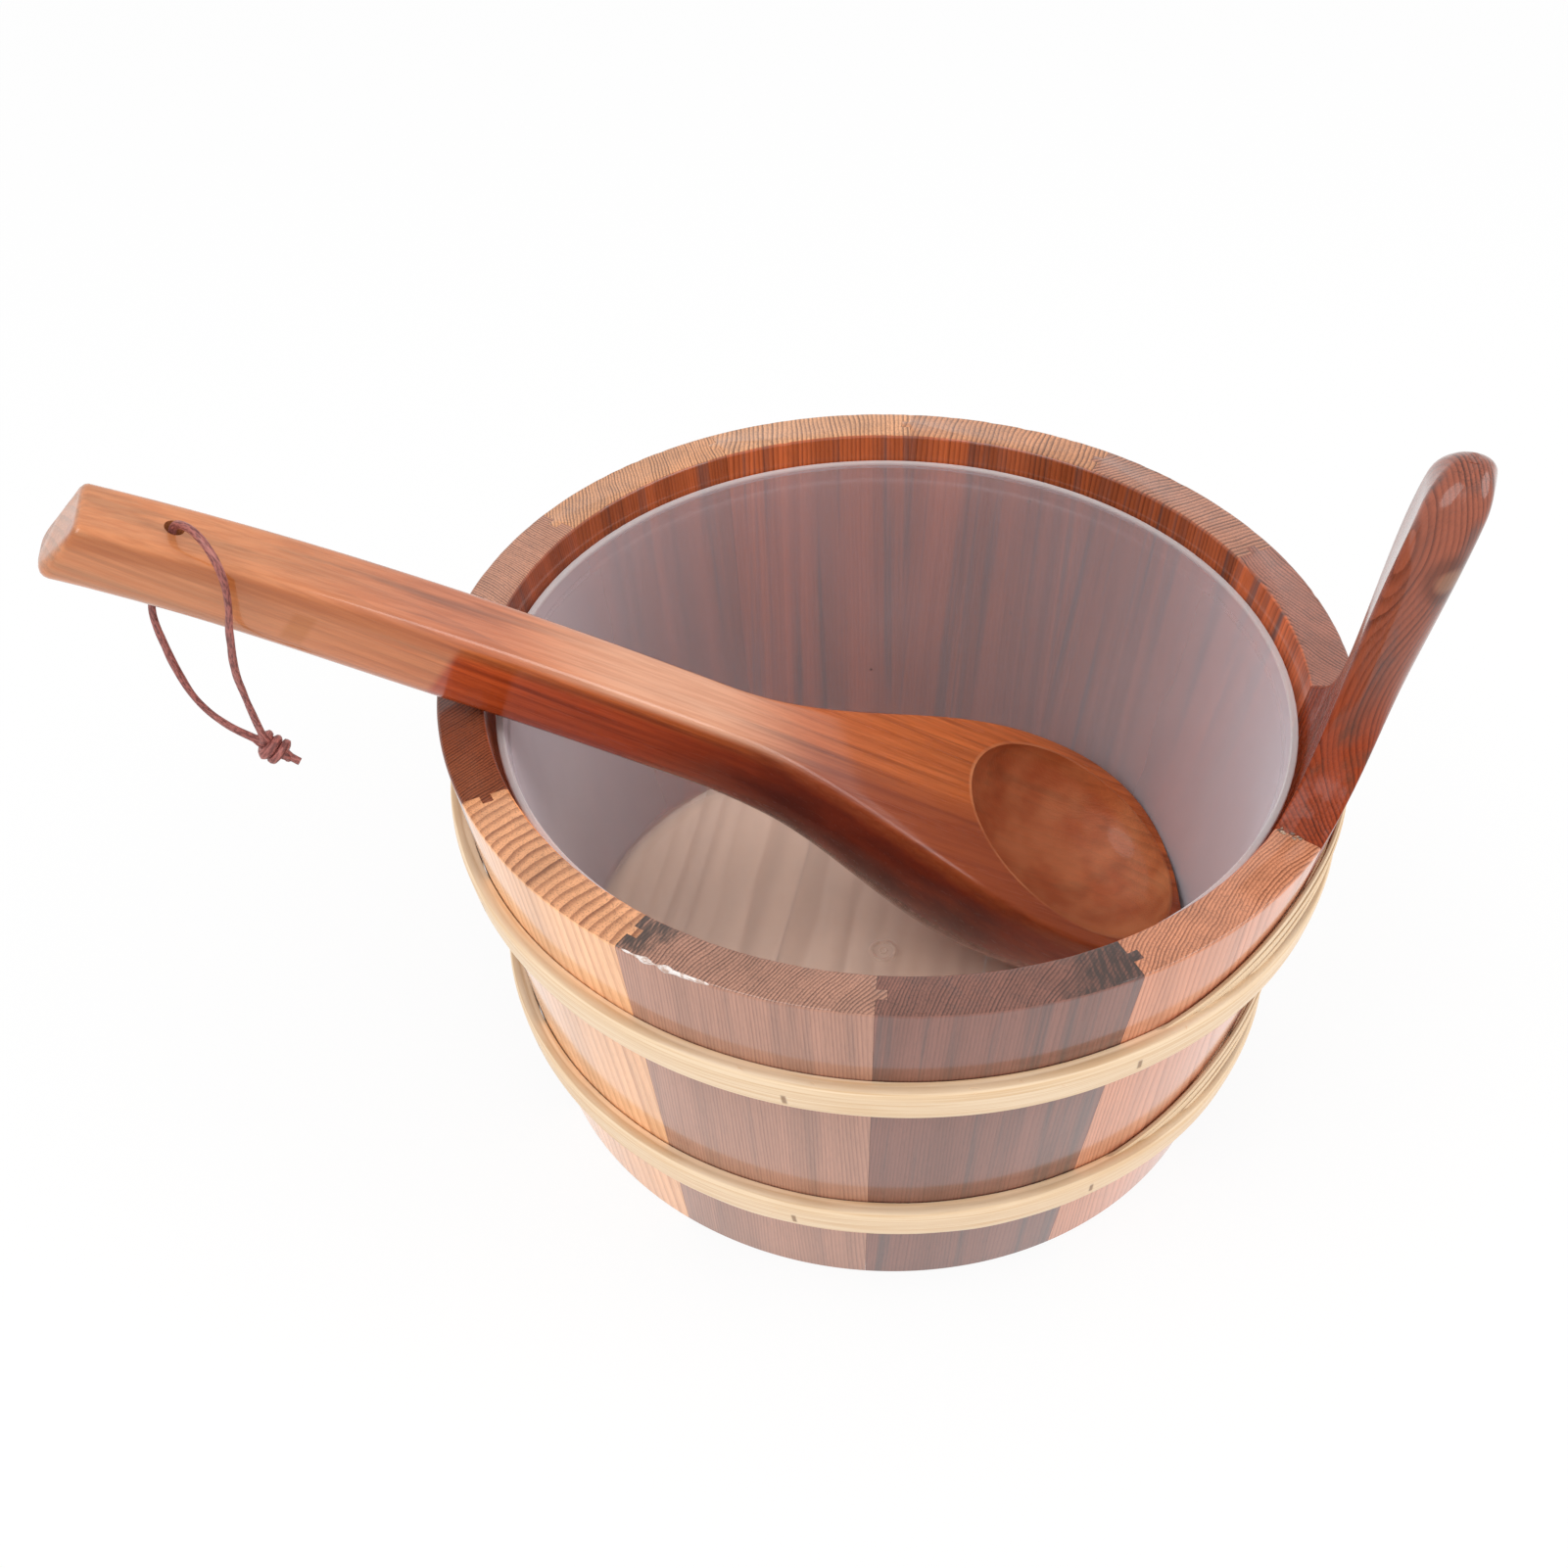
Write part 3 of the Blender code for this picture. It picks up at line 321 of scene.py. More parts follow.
class StageSettings(bpy.types.PropertyGroup):
    camera_place: lengths("Camera", "Place of the camera", 0.0, -447.42, 516.06)
    camera_tilt: angles("Camera tilt", "Tilt of the camera", 46.727, 0.209, 3.9)
    lens: number("Lens", "Focal length in millimetres on a 36 mm frame", 46.881)
    sky: number("Sky", "Strength of the soft white surround", 0.80)
    key_watts: number("Key", "Power of the large lamp over the left front, in watts", 6.0)
    key_size: length("Key size", "Width of the lamp over the left front", 900.0)
    key_place: lengths("Key place", "Place of the lamp over the left front", -550.0, -550.0, 1250.0)
    fill_watts: number("Fill", "Power of the lamp over the right, in watts", 4.0)
    fill_size: length("Fill size", "Width of the lamp over the right", 700.0)
    fill_place: lengths("Fill place", "Place of the lamp over the right", 950.0, -150.0, 950.0)
    lamp_target: lengths("Lamp target", "Point that both lamps shine at", 0.0, 0.0, 100.0)
    floor_half: length("Floor", "Half of the floor's side", 4000.0)
    shadow_share: number("Shadow", "Share of the floor's own shading in the picture", 0.10)


class Field:
    """A node socket of one material; arithmetic on it adds Math nodes to the same tree."""

    def __init__(self, tree, socket=None):
        self.tree = tree
        self.socket = socket

    def node(self, kind, settings=None, inputs=None, output=0):
        """Adds a node: its settings first, then the values or links of its sockets."""
        made = self.tree.nodes.new(kind)
        for key, value in (settings or {}).items():
            setattr(made, key, value)
        for key, value in (inputs or {}).items():
            if isinstance(value, Field):
                self.tree.links.new(value.socket, made.inputs[key])
            else:
                made.inputs[key].default_value = value
        return Field(self.tree, made.outputs[output] if made.outputs else None)

    def math(self, operation, other=0.0, swapped=False):
        first, second = (other, self) if swapped else (self, other)
        return self.node("ShaderNodeMath", {"operation": operation}, {0: first, 1: second})

    def __add__(self, other):
        return self.math("ADD", other)

    def __radd__(self, other):
        return self.math("ADD", other)

    def __sub__(self, other):
        return self.math("SUBTRACT", other)

    def __rsub__(self, other):
        return self.math("SUBTRACT", other, swapped=True)

    def __mul__(self, other):
        return self.math("MULTIPLY", other)

    def __truediv__(self, other):
        return self.math("DIVIDE", other)

    def __abs__(self):
        return self.math("ABSOLUTE")

    def vector(self, operation, other, output=0):
        return self.node("ShaderNodeVectorMath", {"operation": operation}, {0: self, 1: other}, output)

    def part(self, axis):
        """One part of a vector: X, Y or Z."""
        return self.node("ShaderNodeSeparateXYZ", None, {0: self}, axis)

    def size(self):
        """Length of a vector."""
        return self.node("ShaderNodeVectorMath", {"operation": "LENGTH"}, {0: self}, "Value")

    def chance(self, seed):
        """A random number from 0 to 1 for each whole number."""
        return self.node("ShaderNodeTexWhiteNoise", {"noise_dimensions": "1D"}, {"W": self + seed})

    def step(self, low, high):
        """0 on the low side and 1 on the high side, smooth between."""
        return self.node(
            "ShaderNodeMapRange",
            {"interpolation_type": "SMOOTHSTEP"},
            {"Value": self, "From Min": low, "From Max": high},
        )

    def mix(self, first, second, kind="MIX"):
        """From the first colour to the second by this field."""
        return self.node(
            "ShaderNodeMix", {"data_type": "RGBA", "blend_type": kind}, {0: self, 6: first, 7: second}, 2
        )

    def noise(self, sizes, detail=2.0, seed=0.0):
        """Soft noise from 0 to 1, its patches of these sizes in metres along the three axes."""
        scale = self.vector("MULTIPLY", [1.0 / size for size in sizes])
        moved = scale.vector("ADD", (seed, 2.3 * seed, 1.7 * seed))
        return self.node("ShaderNodeTexNoise", None, {"Vector": moved, "Scale": 1.0, "Detail": detail})


def paint(rgb):
    return (*rgb, 1.0)


def new_surface(name):
    """An empty material and the field that its nodes start from."""
    made = bpy.data.materials.new(name)
    made.use_nodes = True
    made.node_tree.nodes.clear()
    return made, Field(made.node_tree)


def close_surface(start, **sockets):
    """Ends a material in one Principled shader with these sockets."""
    inputs = {key.replace("_", " "): value for key, value in sockets.items()}
    shader = start.node("ShaderNodeBsdfPrincipled", None, inputs)
    start.node("ShaderNodeOutputMaterial", None, {"Surface": shader})


def bumped(height, strength, distance):
    return height.node(
        "ShaderNodeBump", None, {"Height": height, "Strength": strength, "Distance": distance}
    )


Grain = namedtuple("Grain", "ring bearing reach lines streaks end seed")
Patches = namedtuple("Patches", "across along detail seed")

# Noises of wood: sizes of their patches in metres, across the grain and along it
WOOD_NOISES = {
    "slow": Patches(0.030, 0.200, 2.0, 0.0),
    "quick": Patches(0.005, 0.050, 2.0, 5.0),
    "streaks": Patches(0.0045, 0.140, 3.0, 9.0),
    "fibre": Patches(0.0005, 0.011, 2.0, 3.0),
    "mottle": Patches(0.022, 0.075, 2.0, 7.0),
    "bands": Patches(0.007, 0.300, 2.0, 13.0),
    "pores": Patches(0.00045, 0.004, 2.0, 11.0),
}

# Painted shade and red bounce light on the inner faces of the staves: a darker, redder tint over their wood
INNER_PAINTED_SHADE = (1.03, 0.76, 0.55)


def grain_noise(place, grain, kind):
    patches = WOOD_NOISES[kind]
    sizes = (patches.across, patches.across, patches.along)
    return place.noise(sizes, patches.detail, grain.seed + patches.seed)


def grain_place(start, to_grain):
    """Object coordinates moved into another frame; in the frame of a grain, z runs along it."""
    coordinates = start.node("ShaderNodeTexCoord", output="Object")
    return start.node(
        "ShaderNodeMapping",
        {"vector_type": "POINT"},
        {
            "Vector": coordinates,
            "Location": to_grain.to_translation(),
            "Rotation": to_grain.to_euler("XYZ"),
        },
    )


def growth_rings(place, grain):
    """Ring number and the place within a ring, round a pith that lies beside the piece."""
    slow = grain_noise(place, grain, "slow") - 0.5
    quick = grain_noise(place, grain, "quick") - 0.5
    pith = around(grain.reach, grain.bearing, 0.0)
    across = place.vector("MULTIPLY", (1.0, 1.0, 0.0)).vector("DISTANCE", pith, "Value")
    rings = (across + slow * 0.006 + quick * 0.0005) / grain.ring
    whole = rings.math("FLOOR")
    return whole, rings - whole


def wood(name, early, late, dark, grain, to_grain, gloss=0.30, soften=None, inside=1.0, extra=None):
    """Varnished wood, solid in three dimensions, with end grain where the grain meets the surface.

    soften tells where a stave's fine lines are veiled, inside is the strength of the painted shade and red
    bounce light tinted onto its inner face, and extra changes the colour, roughness and relief and gives the
    weight of the varnish.
    """
    made, start = new_surface(name)
    place = grain_place(start, to_grain)
    ring, part = growth_rings(place, grain)
    chance = ring.chance(grain.seed)
    streaks = grain_noise(place, grain, "streaks").step(0.50, 0.70) * grain.streaks
    fibre = grain_noise(place, grain, "fibre")
    mottle = grain_noise(place, grain, "mottle")
    bands = grain_noise(place, grain, "bands")
    normal = start.node("ShaderNodeTexCoord", output="Normal")
    ends = abs(normal.vector("DOT_PRODUCT", to_grain.to_3x3().row[2], "Value")).step(0.60, 0.86)
    pores = grain_noise(place, grain, "pores").step(0.50, 0.68)
    strength = ends * (0.9 - grain.lines) + grain.lines
    line = part.step(0.30, 0.94) * part.step(1.0, 0.95) * (chance * 0.55 + 0.45) * strength
    if soften:
        line = line * (1.0 - soften(place) * 0.75)
    tone = line.mix(paint(early), paint(late))
    tone = ends.mix(tone, paint(grain.end), "MULTIPLY")
    if soften:
        # Painted shade and red bounce light: the inner faces are tinted darker and redder
        inner = inner_face(place) * (1.0 - ends)
        tone = inner.mix(tone, paint([inside * channel for channel in INNER_PAINTED_SHADE]), "MULTIPLY")
    tone = (streaks * (1.0 - ends * 0.75)).mix(tone, paint(dark))
    shade = (mottle * 0.4 + bands * 0.5 + 0.55) * (fibre * 0.30 + 0.85)
    shade = shade * (1.0 - pores * (ends * 0.26 + 0.08)) * (1.08 - line * ends * 0.50)
    if soften:
        shade = shade * (1.0 + inner * (bands - 0.5) * 1.05)
    tone = start.node(
        "ShaderNodeMix",
        {"data_type": "RGBA", "blend_type": "MULTIPLY"},
        {0: 1.0, 6: tone, 7: shade},
        2,
    )
    rough = gloss + fibre * 0.10 + ends * 0.14 + line * 0.05
    height = fibre * 0.35 + line * 0.5 - pores * (ends * 0.8 + 0.2)
    coat = 0.9
    if extra:
        tone, rough, height, coat = extra(place, ends, tone, rough, height)
    close_surface(
        start,
        Base_Color=tone,
        Roughness=rough,
        Normal=bumped(height, 0.35, 0.00035),
        Specular_IOR_Level=0.12,
        Coat_Weight=coat,
        Coat_Roughness=0.12,
    )
    return made


def new_object(name, data):
    made = bpy.data.objects.new(name, data)
    bpy.context.scene.collection.objects.link(made)
    return made


def dress(mesh, surface, crease, body, slot, *nodes):
    """A smooth piece with creases at its sharp edges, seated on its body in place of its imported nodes."""
    piece = new_object(mesh.name, mesh)
    mesh.materials.clear()
    mesh.materials.append(surface)
    mesh.shade_smooth()
    mesh.set_sharp_from_angle(angle=math.radians(crease))
    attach(piece, body)
    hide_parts(*nodes)
    return piece


def settled(name, work):
    """The mesh that a working mesh leaves."""
    mesh = bpy.data.meshes.new(name)
    work.to_mesh(mesh)
    work.free()
    return mesh


def loft(name, rings, field=None):
    """Quads between rings of equal count, with a cap on each end."""
    work = bmesh.new()
    layer = work.verts.layers.float_vector.new("fibre") if field else None
    loops = []
    for row, ring in enumerate(rings):
        loop = [work.verts.new(point) for point in ring]
        for column, vert in enumerate(loop):
            if layer:
                vert[layer] = field[row][column]
        loops.append(loop)
    count = len(loops[0])
    for lower, upper in zip(loops, loops[1:]):
        for i in range(count):
            j = (i + 1) % count
            work.faces.new((lower[i], lower[j], upper[j], upper[i]))
    work.faces.new(loops[0])
    work.faces.new(loops[-1])
    bmesh.ops.recalc_face_normals(work, faces=work.faces)
    return settled(name, work)


def smoothstep(value):
    value = min(max(value, 0.0), 1.0)
    return value * value * (3.0 - 2.0 * value)


def between(first, last, share):
    return first + (last - first) * share


def around(radius, bearing, height):
    """A point at a distance and a bearing from the Z axis."""
    return Vector((radius * math.cos(bearing), radius * math.sin(bearing), height))


def outer_radius(tub, height):
    return between(tub.foot_radius, tub.rim_radius, height / tub.height)


def inner_radius(tub, height):
    return outer_radius(tub, height) - tub.wall


def joint_angle(tub, index):
    return tub.first_joint + FULL_TURN * index / tub.stave_count


def croze(tub):
    """Low edge, high edge and radius of the groove for the base."""
    low = tub.base_recess - tub.croze_play
    high = tub.base_recess + tub.base_thickness + tub.croze_play
    return low, high, inner_radius(tub, tub.base_recess + tub.base_thickness) + tub.croze_depth


def joint_edge(tub, joint, reach):
    """Plan of a joint from the inside of the wall to its outside, with the tongue at its middle."""
    half = 0.5 * tub.tongue_thickness / tub.wall
    return [
        (0.0, joint),
        (0.5 - half, joint),
        (0.5 - half, joint + reach),
        (0.5 + half, joint + reach),
        (0.5 + half, joint),
        (1.0, joint),
    ]


def stave_plan(tub, index):
    """Outline of a short stave as (share of the wall, bearing), from its first joint to its last."""
    seam = 0.5 * tub.seam / tub.rim_radius
    reach = tub.tongue_reach / tub.rim_radius
    start = joint_angle(tub, index - 1) + seam
    end = joint_angle(tub, index) - seam
    into_first = -reach if index == 1 else reach
    bearings = [between(start, end, step / STAVE_STEPS) for step in range(1, STAVE_STEPS)]
    outside = [(1.0, bearing) for bearing in bearings]
    inside = [(0.0, bearing) for bearing in reversed(bearings)]
    last = joint_edge(tub, end, reach)
    return joint_edge(tub, start, into_first) + outside + last[::-1] + inside


def wall_ring(plan, height, inner, outer, worn=None):
    ring = []
    for share, bearing in plan:
        radius = between(inner, outer, share)
        drop = worn(share, bearing) if worn else 0.0
        ring.append(around(radius, bearing, height - drop))
    return ring


def rim_wear(share, bearing):
    """Small dents and rubbed places along the arrises of the rim."""
    if 0.02 < share < 0.98:
        return 0.0
    dent = noise.noise(Vector((70.0 * bearing, 9.0 * share, 1.3)))
    return 0.45 * MM * max(dent - 0.12, 0.0)


def stave_rings(tub, plan):
    low, high, groove = croze(tub)
    top = tub.height
    rings = [wall_ring(plan, 0.0, inner_radius(tub, 0.0), outer_radius(tub, 0.0))]
    for height, inner in ((low, inner_radius(tub, low)), (low, groove), (high, groove)):
        rings.append(wall_ring(plan, height, inner, outer_radius(tub, height)))
    for height in (high, 0.5 * (high + top)):
        rings.append(wall_ring(plan, height, inner_radius(tub, height), outer_radius(tub, height)))
    for step in range(RIM_STEPS + 1):
        turn = 0.5 * math.pi * step / RIM_STEPS
        inset = tub.rim_round * (1.0 - math.cos(turn))
        height = top - tub.rim_round * (1.0 - math.sin(turn))
        inner = inner_radius(tub, height) + inset
        outer = outer_radius(tub, height) - inset
        rings.append(wall_ring(plan, height, inner, outer, rim_wear))
    return rings


def wall_frame(tub, bearing, slant=0.0):
    """From the model's frame to a stave's own: x out of the wall, y along the rim, z up the grain."""
    lean = math.atan2(tub.rim_radius - tub.foot_radius, tub.height)
    middle = 0.5 * (outer_radius(tub, 0.0) + inner_radius(tub, 0.0))
    turn = Matrix.Rotation(-lean, 4, "Y") @ Matrix.Rotation(-bearing, 4, "Z")
    return Matrix.Rotation(slant, 4, "X") @ turn @ Matrix.Translation(around(-middle, bearing, 0.0))


StaveLook = namedtuple("StaveLook", "wood ring bearing reach lines streaks end inside slant slot")

# Colours, width of a ring in mm, bearing in degrees and distance in mm of the pith, strength of lines and
# streaks, tint of the end grain, strength of the painted shade on the inner face, slant of the grain in
# degrees, and slot
STAVE_LOOKS = [
    StaveLook("tan", 1.1, 25.0, 160.0, 0.7, 0.75, (0.78, 0.92, 1.40), 1.2, 0.0, "cedar_middle"),
    StaveLook("tan", 1.5, 75.0, 150.0, 0.8, 0.7, (1.02, 1.40, 2.0), 0.70, 1.0, "cedar_middle"),
    StaveLook("tan", 1.7, 92.0, 190.0, 0.9, 0.5, (1.3, 1.8, 2.0), 0.82, 0.0, "cedar_light"),
    StaveLook("tan", 1.5, 80.0, 220.0, 0.8, 0.55, (1.62, 2.5, 2.9), 1.0, 0.0, "cedar_light"),
    StaveLook("tan", 1.0, 60.0, 200.0, 0.6, 0.55, (1.48, 2.2, 2.45), 0.70, -1.0, "cedar_middle"),
    StaveLook("brown", 0.9, 70.0, 180.0, 0.6, 0.3, (1.85, 2.75, 3.4), 1.0, 0.0, "cedar_dark"),
    StaveLook("brown", 1.0, 125.0, 160.0, 0.7, 0.3, (0.88, 0.80, 0.72), 1.15, 0.0, "cedar_dark"),
    StaveLook("light", 3.2, 97.0, 90.0, 0.62, 0.05, (0.76, 0.65, 0.60), 1.30, -1.0, "cedar_light"),
    StaveLook("mauve", 0.95, 70.0, 190.0, 0.5, 0.22, (0.9, 0.88, 0.85), 1.0, 0.0, "cedar_middle"),
    StaveLook("dusk", 0.9, 52.0, 150.0, 0.45, 0.6, (0.85, 0.8, 0.75), 1.0, 0.0, "cedar_dark"),
    StaveLook("peach", 1.0, 22.0, 130.0, 0.75, 0.1, (0.84, 0.8, 0.74), 1.1, -6.0, "cedar_light"),
]

# By stave: side of the dark stain on its rim, its reach in mm from that side, and its slant across the wall
RIM_STAINS = {9: (-1.0, 14.0, 1.0), 10: (1.0, 22.0, 0.0)}


def rim_stain(side, reach, spread, half, dark):
    """Dark heart stain on the rim's end grain, at one joint of a stave."""

    def stain(place, ends, tone, rough, height):
        across = place.part("Y") * side - place.part("X") * spread
        blotch = place.noise((0.007, 0.007, 0.007), 3.0, 17.0) - 0.5
        broken = place.noise((0.0060, 0.0011, 0.0060), 3.0, 23.0).step(0.34, 0.56)
        mask = (across + blotch * 0.030).step(half - reach, half - 0.35 * reach)
        mask = mask * ends * (broken * 0.6 + 0.4)
        return (mask * 0.88).mix(tone, paint(dark)), rough, height, 0.9

    return stain


def inner_face(place):
    """1 on the inner face of a stave."""
    return place.part("X").step(-5.4 * MM, -6.2 * MM)


def under_liner(place):
    """1 on the inner face of a stave below the lip, where the liner veils the fine grain."""
    return inner_face(place) * place.part("Z").step(132.5 * MM, 129.0 * MM)


class BUCKET_OT_staves(bpy.types.Operator):
    """Eleven short staves, tongued together, each sawn from its own piece of cedar"""

    bl_idname = "bucket.staves"
    bl_label = "Staves"

    def execute(self, context):
        tub = context.scene.bucket_tub
        cedar = context.scene.bucket_cedar
        for index, look in enumerate(STAVE_LOOKS, 1):
            bearing = 0.5 * (joint_angle(tub, index - 1) + joint_angle(tub, index))
            grain = Grain(
                ring=look.ring * MM,
                bearing=math.radians(look.bearing),
                reach=look.reach * MM,
                lines=look.lines,
                streaks=look.streaks,
                end=look.end,
                seed=3.7 * index,
            )
            stain = None
            if index in RIM_STAINS:
                half = tub.rim_radius * math.sin(math.pi / tub.stave_count)
                side, reach, spread = RIM_STAINS[index]
                stain = rim_stain(side, reach * MM, spread, half, cedar.stain)
            surface = wood(
                f"cedar_{look.wood}_{index:02d}",
                getattr(cedar, look.wood),
                getattr(cedar, f"{look.wood}_line"),
                cedar.streak,
                grain,
                wall_frame(tub, bearing, math.radians(look.slant)),
                soften=under_liner,
                inside=look.inside,
                extra=stain,
            )
            rings = stave_rings(tub, stave_plan(tub, index))
            mesh = loft(f"cedar_stave_{index:02d}", rings)
            dress(mesh, surface, WOOD_CREASE, "tub", look.slot, f"stave_{index:02d}")
        return {"FINISHED"}


def grip_half_width(grip, rise, full):
    if rise <= 0.0:
        return full
    if rise < grip.waist_height:
        return between(grip.waist, full, (1.0 - rise / grip.waist_height) ** grip.flare)
    if rise < grip.head_height:
        share = (rise - grip.waist_height) / (grip.head_height - grip.waist_height)
        return between(grip.waist, grip.head, smoothstep(share))
    share = (rise - grip.head_height) / (grip.height - grip.head_height)
    return grip.head * math.sqrt(max(1.0 - share * share, 0.0))


def grip_outline(half, thick, corner, groove_depth, groove_half):
    """Rounded section as (across, out), with a groove in each side below the rim."""
    flat = half - corner
    deep = 0.5 * thick - corner
    groove = min(groove_half, deep)
    side = [(half, -groove), (half - groove_depth, -groove), (half - groove_depth, groove), (half, groove)]
    outline = list(side)
    for quarter, (sign_across, sign_out) in enumerate(((1, 1), (-1, 1), (-1, -1), (1, -1))):
        if quarter in (1, 3):
            for step in range(1, STAVE_STEPS):
                share = 1.0 - 2.0 * step / STAVE_STEPS
                outline.append((-sign_across * flat * share, sign_out * 0.5 * thick))
        if quarter == 2:
            outline += [(-across, -out) for across, out in side]
        for step in range(CORNER_STEPS + 1):
            turn = 0.5 * math.pi * (quarter + step / CORNER_STEPS)
            across = sign_across * flat + corner * math.cos(turn)
            outline.append((across, sign_out * deep + corner * math.sin(turn)))
    return outline


def grip_ring(tub, grip, height, middle):
    """Section of the long stave at a height, bent round the tub's axis."""
    rise = height - tub.height
    seam = 0.5 * tub.seam / tub.rim_radius
    full = (math.pi / tub.stave_count - seam) * outer_radius(tub, height)
    half = max(grip_half_width(grip, rise, full), grip.top_half_width)
    corner = between(grip.stave_round, grip.edge_round, smoothstep(rise / grip.waist_height))
    to_top = min((tub.height + grip.height - height) / grip.top_round, 1.0)
    dome = math.sqrt(max(1.0 - (1.0 - to_top) ** 2, 0.0))
    swell = grip.thickening * smoothstep(rise / grip.head_height)
    thick = (tub.wall + swell) * between(0.25, 1.0, dome)
    corner = min(corner, 0.47 * thick, 0.9 * half)
    depth = tub.tongue_reach + tub.seam if rise <= 0.0 else 0.0
    outline = grip_outline(half, thick, corner, depth, 0.5 * tub.tongue_thickness + tub.seam)
    centre = outer_radius(tub, height) - 0.5 * (tub.wall + swell)
    ring = []
    for across, out in outline:
        bearing = middle + across / outer_radius(tub, height)
        ring.append(around(centre + out, bearing, height))
    return ring


# Middle of the knot in the grip, in the frame of its grain
GRIP_KNOT = (3.6 * MM, 0.0, 220.0 * MM)


def grip_finish(cedar):
    """A small knot grown through the grip, its foot washed darker and redder as painted shade and reflection
    of the tub's inside, and an uneven coat of varnish.
    """

    def finish(place, ends, tone, rough, height):
        away = place.vector("SUBTRACT", GRIP_KNOT).vector("MULTIPLY", (1.0, 0.0, 0.72)).size()
        shaped = place.noise((0.011, 0.011, 0.026), 1.0, 27.0)
        core = (away + (shaped - 0.5) * (6.0 * MM)).step(3.0 * MM, 1.2 * MM)
        ring = away.step(7.0 * MM, 4.0 * MM) * (1.0 - core)
        foot = place.part("Z").step(190.0 * MM, 155.0 * MM)
        # Painted shade and reflection: the foot of the grip is washed darker and redder
        tone = foot.mix(tone, paint(cedar.grip_foot_painted_shade), "MULTIPLY")
        tone = (ring * 0.60).mix(tone, paint(cedar.knot_ring))
        tone = (core * 0.60).mix(tone, paint(cedar.knot_core))
        thin = place.noise((0.006, 0.006, 0.022), 2.0, 37.0).step(0.38, 0.56) * foot
        coat = 0.75 - foot * 0.50 - thin * 0.25
        return tone, rough + core * 0.15, height - core * 0.4 + shaped * 2.5, coat

    return finish


class BUCKET_OT_handle(bpy.types.Operator):
    """The long stave, shaped into the grip above the rim"""

    bl_idname = "bucket.handle"
    bl_label = "Handle stave"

    def execute(self, context):
        tub = context.scene.bucket_tub
        grip = context.scene.bucket_grip
        cedar = context.scene.bucket_cedar
        middle = joint_angle(tub, tub.stave_count - 0.5)
        heights = [0.0, 0.5 * tub.height, tub.height, tub.height + 0.2 * MM]
        for step in range(1, GRIP_RINGS + 1):
            share = math.sin(0.5 * math.pi * step / GRIP_RINGS)
            heights.append(tub.height + grip.height * max(share, 0.01))
        mesh = loft("cedar_handle_stave", [grip_ring(tub, grip, height, middle) for height in heights])
        grain = Grain(
            ring=1.0 * MM, bearing=math.radians(12.0), reach=50.0 * MM, lines=0.9, streaks=0.55,
            end=(0.9, 0.9, 0.9), seed=51.0,
        )
        surface = wood(
            "cedar_grip", cedar.grip, cedar.grip_line, cedar.streak, grain,
            wall_frame(tub, middle, math.radians(3.0)), gloss=0.20, extra=grip_finish(cedar),
        )
        dress(mesh, surface, WOOD_CREASE, "tub", "cedar_handle", "handle_stave")
        return {"FINISHED"}


class BUCKET_OT_base(bpy.types.Operator):
    """Finish of the three softwood boards of the base"""

    bl_idname = "bucket.base"
    bl_label = "Base boards"

    def execute(self, context):
        tub = context.scene.bucket_tub
        other = context.scene.bucket_other
        across = Matrix.Rotation(-tub.grain_turn, 4, "Z")
        upright = Matrix.Rotation(-0.5 * math.pi, 4, "Y")
        for index, name in enumerate(("left", "middle", "right")):
            grain = Grain(
                ring=3.4 * MM, bearing=math.radians(8.0 + 20.0 * index), reach=95.0 * MM, lines=1.0,
                streaks=0.05, end=(0.8, 0.8, 0.8), seed=71.0 + 6.0 * index,
            )
            surface = wood(
                f"softwood_{name}", other.softwood, other.softwood_line, other.softwood_line, grain,
                upright @ across, gloss=0.5,
            )
            board = frame["nodes"][f"base_board_{name}"]
            board.data.materials.clear()
            board.data.materials.append(surface)
        return {"FINISHED"}


def parting(hoop, bearing):
    """1 where the two turns of a hoop have parted, 0 where one covers the other."""
    away = abs(math.remainder(bearing - hoop.parting_centre, FULL_TURN))
    return smoothstep((hoop.parting_half - away) / hoop.parting_length)


def strip_profile(width, thickness, uneven, cover=0.0, lap=0.0):
    """Half-round section of a split strip as (out, up), its back hollowed by lap over a covered width."""
    half = 0.5 * width
    edge = half - 0.35 * thickness
    inner = min(0.5 * cover + 0.35 * MM, edge - 0.2 * MM)
    outline = [(-lap, -edge), (-lap, -inner), (0.0, -inner), (0.0, inner), (-lap, inner), (-lap, edge)]
    if not cover:
        outline = [(0.0, -edge), (0.0, edge)]
    for step in range(STRIP_SIDES + 1):
        turn = math.pi * step / STRIP_SIDES
        up = math.copysign(abs(math.cos(turn)) ** 0.6, math.cos(turn)) * half
        out = (0.16 + 0.84 * math.sin(turn) ** 0.5) * thickness
        outline.append((out + uneven * 0.06 * thickness * math.sin(5.0 * turn + 3.0 * uneven), up))
    return outline


def strip(tub, hoop, name, level_at, stand_at, profile_at, seed):
    """One turn of split rattan with its fibre field: along, across and a number of its own."""
    slope = math.atan2(tub.rim_radius - tub.foot_radius, tub.height)
    butt = hoop.strip_gap / tub.foot_radius
    rings = []
    field = []
    for step in range(STRIP_STEPS + 1):
        share = step / STRIP_STEPS
        bearing = hoop.butt + butt + (FULL_TURN - 2 * butt) * share
        apart = parting(hoop, bearing)
        level = level_at(apart)
        uneven = noise.noise(Vector((5.0 * bearing, seed, 0.4)))
        profile = profile_at(apart, uneven)
        widest = max(up for out, up in profile)
        ring = []
        marks = []
        for out, up in profile:
            z = level + up * math.cos(slope) - out * math.sin(slope)
            clear = (out + stand_at(apart)) / math.cos(slope)
            radius = outer_radius(tub, level) + up * math.sin(slope) + clear
            ring.append(around(radius, bearing, z))
            marks.append(Vector((bearing * tub.rim_radius, up / widest, seed)))
        rings.append(ring)
        field.append(marks)
    return loft(name, rings, field=field)


